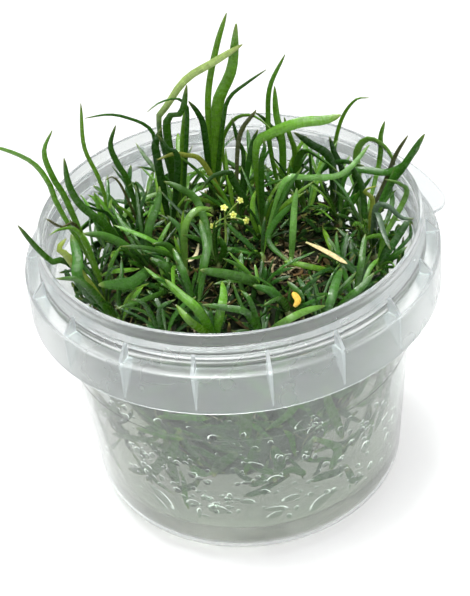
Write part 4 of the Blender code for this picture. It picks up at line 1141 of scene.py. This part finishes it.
# Condensation: drops of clear water on the inside of the wall, from small beads to drops that have
# run together and hang before they slide. Each is a low dome that touches the plastic, with a painted
# highlight: a white crescent on its upper edge that glows. The rows give azimuth, level, half sizes and
# tilt.
BIG_DROPS = (
    (235, -61, 3.0, 1.1, -48), (233, -63, 2.0, 0.5, -45), (247, -60, 1.4, 1.1, 0), (249, -63, 0.5, 1.5, 0),
    (256, -61, 2.2, 1.1, -5), (260, -60, 0.6, 0.6, 0), (260, -62, 0.5, 0.5, 0), (250, -55, 0.6, 0.5, 0),
    (252, -57, 0.8, 0.7, -20), (254, -57, 0.6, 0.5, 0), (256, -59, 0.8, 0.6, 0), (254, -60, 0.9, 0.8, 0),
    (260, -57, 0.6, 0.5, 0), (263, -57, 0.8, 0.4, 0), (258, -56, 0.6, 0.4, 15), (244, -58, 0.5, 0.5, 0),
    (249, -49, 0.9, 0.8, -30), (251, -50, 0.7, 0.6, -10), (254, -51, 0.8, 0.7, -10),
    (247, -45, 0.6, 0.5, 0), (249, -44, 0.5, 0.6, 0), (228, -46, 0.8, 0.8, 0), (231, -46, 0.5, 0.9, -20),
    (229, -48, 0.5, 0.5, 0), (223, -54, 0.4, 0.9, 20), (233, -54, 0.5, 0.5, 0), (235, -56, 0.5, 0.5, 0),
    (241, -54, 0.7, 0.6, 0), (242, -56, 0.8, 0.6, 0), (225, -61, 0.4, 0.4, 0), (251, -64, 0.7, 0.4, 0),
    (293, -64, 2.6, 1.3, 30), (298, -62, 0.5, 0.9, 10), (299, -62, 0.4, 0.8, 10), (277, -62, 2.2, 0.8, -8),
    (276, -64, 1.8, 0.7, 12), (282, -59, 1.7, 0.8, 12), (273, -55, 1.2, 0.7, -8), (267, -58, 1.3, 0.8, -15),
    (267, -51, 0.9, 0.5, 0), (277, -51, 2.0, 0.9, 0), (289, -55, 0.8, 0.5, 0), (271, -39, 0.7, 0.6, -20),
    (271, -45, 1.6, 0.7, -28), (267, -44, 0.5, 0.5, 0), (313, -53, 1.0, 1.4, -20), (306, -48, 0.7, 0.7, 0),
    (311, -46, 0.6, 0.7, 0), (313, -45, 0.6, 0.6, 0), (311, -48, 0.4, 0.6, 0), (305, -44, 0.5, 0.7, 0),
    (305, -39, 0.5, 0.5, 0), (258, -35, 1.3, 0.8, 25), (286, -34, 1.2, 0.6, 40), (290, -37, 1.2, 0.5, 35),
    (240, -32, 1.0, 0.8, 0), (226, -35, 1.1, 0.8, 0), (295, -51, 0.7, 0.6, 0), (301, -52, 0.6, 0.6, 0),
)
DROP_SIZE = 1.3
# Rings of a drop from the wall inwards: share of its size, rise from the wall and strength of the painted
# glint.
DROP_RINGS = ((1.0, 0.0, 0.0), (0.94, 0.3, 1.0), (0.76, 0.64, 1.0), (0.62, 0.8, 0.0), (0.33, 0.95, 0.0))


def add_drop(growth, azimuth, level, half, tall, tilt, steps, rng):
    """A dome of water on the wall, with these half sizes round and up the wall."""
    angle = math.radians(azimuth)
    out = Vector((math.cos(angle), math.sin(angle), 0.0))
    round_wall = Vector((-math.sin(angle), math.cos(angle), 0.0))
    up = Vector((0, 0, 1))
    a = math.radians(tilt)
    side = round_wall * math.cos(a) + up * math.sin(a)
    rise = up * math.cos(a) - round_wall * math.sin(a)
    half *= DROP_SIZE
    tall *= DROP_SIZE
    deep = 0.5 * min(half, tall)
    phase = rng.uniform(0, 6.28)
    shift = rng.uniform(-0.6, 0.6)
    uneven = 0.12 if half > 0.5 else 0.05
    first = len(growth.points)
    for share, rise_share, painted_glint in DROP_RINGS:
        for k in range(steps):
            turn = 2 * math.pi * k / steps
            wobble = 1 + uneven * (math.sin(2 * turn + phase) + 0.7 * math.sin(3 * turn + 2 * phase))
            r = share * wobble
            spot = out * 40 + up * (level + RIM) + side * (half * r * math.cos(turn))
            spot += rise * (tall * r * math.sin(turn))
            reach = inner_radius(spot.z - RIM) - 0.03 - deep * rise_share
            away = math.hypot(spot.x, spot.y)
            spot.x, spot.y = spot.x * reach / away, spot.y * reach / away
            # Painted highlight: the glint is set on the upper half of the ring only, as if lit from above.
            growth.add_point(spot, [painted_glint * max(0.0, math.sin(turn + shift) + 0.1)] * 3)
    growth.close_rings(first, len(DROP_RINGS), steps)


water = Growth()
drops = random.Random(8)
for row in BIG_DROPS:
    add_drop(water, *row, 18, drops)
# Groups of small drops: azimuth and level of the middle, their spread, and how many.
CLUSTERS = ((254, -57, 4, 2, 16), (288, -45, 1, 1, 7), (281, -43, 1, 1, 7), (312, -46, 2, 2, 10),
            (328, -50, 3, 6, 22), (308, -62, 4, 2, 14), (228, -45, 2, 2, 8), (290, -60, 14, 4, 20),
            (292, -36, 3, 3, 14), (240, -50, 10, 8, 22), (272, -50, 12, 8, 26), (226, -34, 5, 2, 10),
            (90, -50, 30, 9, 60), (150, -52, 20, 8, 40), (30, -50, 20, 9, 40))
for azimuth, level, wide, high, count in CLUSTERS:
    for i in range(count):
        size = 0.25 + 0.5 * drops.random() ** 2.5
        add_drop(water, drops.gauss(azimuth, wide), max(-65.5, min(-24, drops.gauss(level, high))),
                 size, size * drops.uniform(0.8, 1.5), drops.uniform(-25, 25), 8, drops)
STRAY_DROPS = 150
for i in range(STRAY_DROPS):
    size = 0.2 + 0.5 * drops.random() ** 3
    add_drop(water, drops.uniform(0, 360), drops.uniform(-65, -24), size,
             size * drops.uniform(0.8, 1.5), drops.uniform(-25, 25), 8, drops)
material, tree, output = empty_material("clear_water")
# The water is tinted darker green-grey than water is, painted shade in the drops' cores. The tint attribute
# carries the painted glint, a white milky layer that glows.
clear = add_node(tree, "ShaderNodeBsdfPrincipled", Base_Color=(0.66, 0.75, 0.66, 1.0),
                 Roughness=0.0, IOR=1.2, Transmission_Weight=1.0).outputs[0]
painted_glow = add_node(tree, "ShaderNodeEmission", Color=(1.0, 1.0, 1.0, 1.0), Strength=1.4).outputs[0]
painted_glint = add_node(tree, "ShaderNodeAddShader", _0=milky(tree, (0.95, 0.96, 0.95, 1.0)), _1=painted_glow).outputs[0]
body = mixed(tree, attribute(tree, "tint")["Fac"], clear, painted_glint)
let_lamps_through(tree, body, output, (0.97, 0.97, 0.97, 1.0))
wet_drops = water.piece("condensation", material)
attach(wet_drops, "root")

# The mist between the drops: a film of droplets too small to see one by one. It is missing where
# a leaf is pressed against the wall and where a drop has drunk it up, so those show clearly.
FILM_TOP, FILM_BOTTOM = -20.5, -68.1
FILM_STEPS, FILM_ROWS = 400, 64
FILM_INSETS = (0.05, 0.10)
TOUCH = 1.3
grown = Growth()
for growth in list(growths.values()) + [mat_growth, water]:
    grown.take(growth)
touching = leaf_tree(grown)
film_levels = [FILM_TOP + (FILM_BOTTOM - FILM_TOP) * row / FILM_ROWS for row in range(FILM_ROWS + 1)]
clouded = []
for row, level in enumerate(film_levels):
    fade = min(1.0, row / 8, (FILM_ROWS - row) / 2)
    line = []
    for k in range(FILM_STEPS):
        turn = 2 * math.pi * k / FILM_STEPS
        out = Vector((math.cos(turn), math.sin(turn), 0.0))
        start = (out * inner_radius(level) + rim_point(0, 0, level)) * MM
        hit = touching.ray_cast(start, -out, TOUCH * MM)[3]
        line.append(0.0 if hit is not None else fade)
    clouded.append(line)
film = Growth()
for inset in FILM_INSETS:
    for row, level in enumerate(film_levels):
        for k in range(FILM_STEPS):
            near = [clouded[min(FILM_ROWS, max(0, row + i))][(k + j) % FILM_STEPS]
                    for i, j in ((0, 0), (0, 0), (1, 0), (-1, 0), (0, 1), (0, -1))]
            film.add_point(wall_point(360 * k / FILM_STEPS, level, inset), [sum(near) / len(near)] * 3)
inner_side = (FILM_ROWS + 1) * FILM_STEPS
for row in range(FILM_ROWS):
    for k in range(FILM_STEPS):
        p = row * FILM_STEPS + k
        q = row * FILM_STEPS + (k + 1) % FILM_STEPS
        film.faces.append((p, p + FILM_STEPS, q + FILM_STEPS, q))
        film.faces.append(tuple(n + inner_side for n in (q, q + FILM_STEPS, p + FILM_STEPS, p)))
for k in range(FILM_STEPS):
    for p, q in ((k, (k + 1) % FILM_STEPS), (inner_side - FILM_STEPS + (k + 1) % FILM_STEPS,
                                             inner_side - FILM_STEPS + k)):
        film.faces.append((p, q, q + inner_side, p + inner_side))
material, tree, output = empty_material("fine_mist")
place = object_place(tree)
patch = spread(tree, noise(tree, place, 150.0, 5.0, 0.6), 0.3, 0.7, 0.08, 0.26)
cells = add_node(tree, "ShaderNodeTexVoronoi", Vector=place, Scale=1300.0, Randomness=1.0)
beads = spread(tree, cells.outputs["Distance"], 0.1, 0.5, 1.25, 0.75)
share = maths(tree, "MULTIPLY", maths(tree, "MULTIPLY", patch, beads), attribute(tree, "tint")["Fac"])
clear = add_node(tree, "ShaderNodeBsdfTransparent", Color=(1.0, 1.0, 1.0, 1.0)).outputs[0]
body = mixed(tree, share, clear, milky(tree, (0.53, 0.67, 0.53, 1.0)))
tree.links.new(body, output.inputs["Surface"])
haze = film.piece("mist_film", material)
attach(haze, "root")

# The stage: a plain white floor and soft light all round, with one broad lamp overhead and one in
# front, and the camera where the photograph was taken from.
bpy.ops.object.select_all(action="DESELECT")
bpy.ops.mesh.primitive_plane_add(size=6.0, location=(0, 0, 0))
floor = bpy.context.object
floor.name = "floor"
material, tree, output = empty_material("white_floor")
paint = add_node(tree, "ShaderNodeBsdfPrincipled", Base_Color=(0.5, 0.5, 0.5, 1.0), Roughness=0.9,
                 Specular_IOR_Level=0.0, Emission_Color=(1.0, 1.0, 1.0, 1.0), Emission_Strength=0.42)
tree.links.new(paint.outputs[0], output.inputs["Surface"])
floor.data.materials.append(material)

world = bpy.data.worlds.new("soft_room")
bpy.context.scene.world = world
world.use_nodes = True
sky = world.node_tree.nodes["Background"]
sky.inputs["Color"].default_value = (1.0, 1.0, 1.0, 1.0)
tree = world.node_tree
seen = tree.nodes.new("ShaderNodeLightPath").outputs["Is Camera Ray"]
tree.links.new(spread(tree, seen, 0.0, 1.0, 0.35, 1.0), sky.inputs["Strength"])

LAMP_AIM = Vector((0, 0, 0.06))
for name, size, power, spot in (("overhead_lamp", 0.2, 10.0, (-0.12, 0.04, 0.93)),
                                ("front_lamp", 0.35, 5.2, (0.1, -0.6, 0.8))):
    lamp_data = bpy.data.lights.new(name, "AREA")
    lamp_data.shape = "DISK"
    lamp_data.size = size
    lamp_data.energy = power
    lamp = bpy.data.objects.new(name, lamp_data)
    bpy.context.scene.collection.objects.link(lamp)
    lamp.location = spot
    lamp.rotation_euler = (LAMP_AIM - lamp.location).to_track_quat("-Z", "Y").to_euler()

# The camera stands at a distance from the middle of the rim. Its aim is below and left of that.
DISTANCE = 0.4177
ELEVATION = 34.53
AIM_BELOW = 2.836
AIM_LEFT = 0.085
ROLL = -5.621
camera_data = bpy.data.cameras.new("camera")
camera_data.lens = 102.685
camera_data.sensor_width = 36.0
camera_data.clip_start = 0.01
camera = bpy.data.objects.new("camera", camera_data)
bpy.context.scene.collection.objects.link(camera)
rise = math.radians(ELEVATION)
camera.location = (0.0, -DISTANCE * math.cos(rise), RIM * MM + DISTANCE * math.sin(rise))
aim = Matrix.Rotation(math.radians(AIM_LEFT), 4, "Z")
aim = aim @ Matrix.Rotation(math.radians(90 - ELEVATION - AIM_BELOW), 4, "X")
aim = aim @ Matrix.Rotation(math.radians(ROLL), 4, "Z")
camera.rotation_euler = aim.to_euler()
bpy.context.scene.camera = camera
bpy.context.scene.view_settings.view_transform = "Standard"
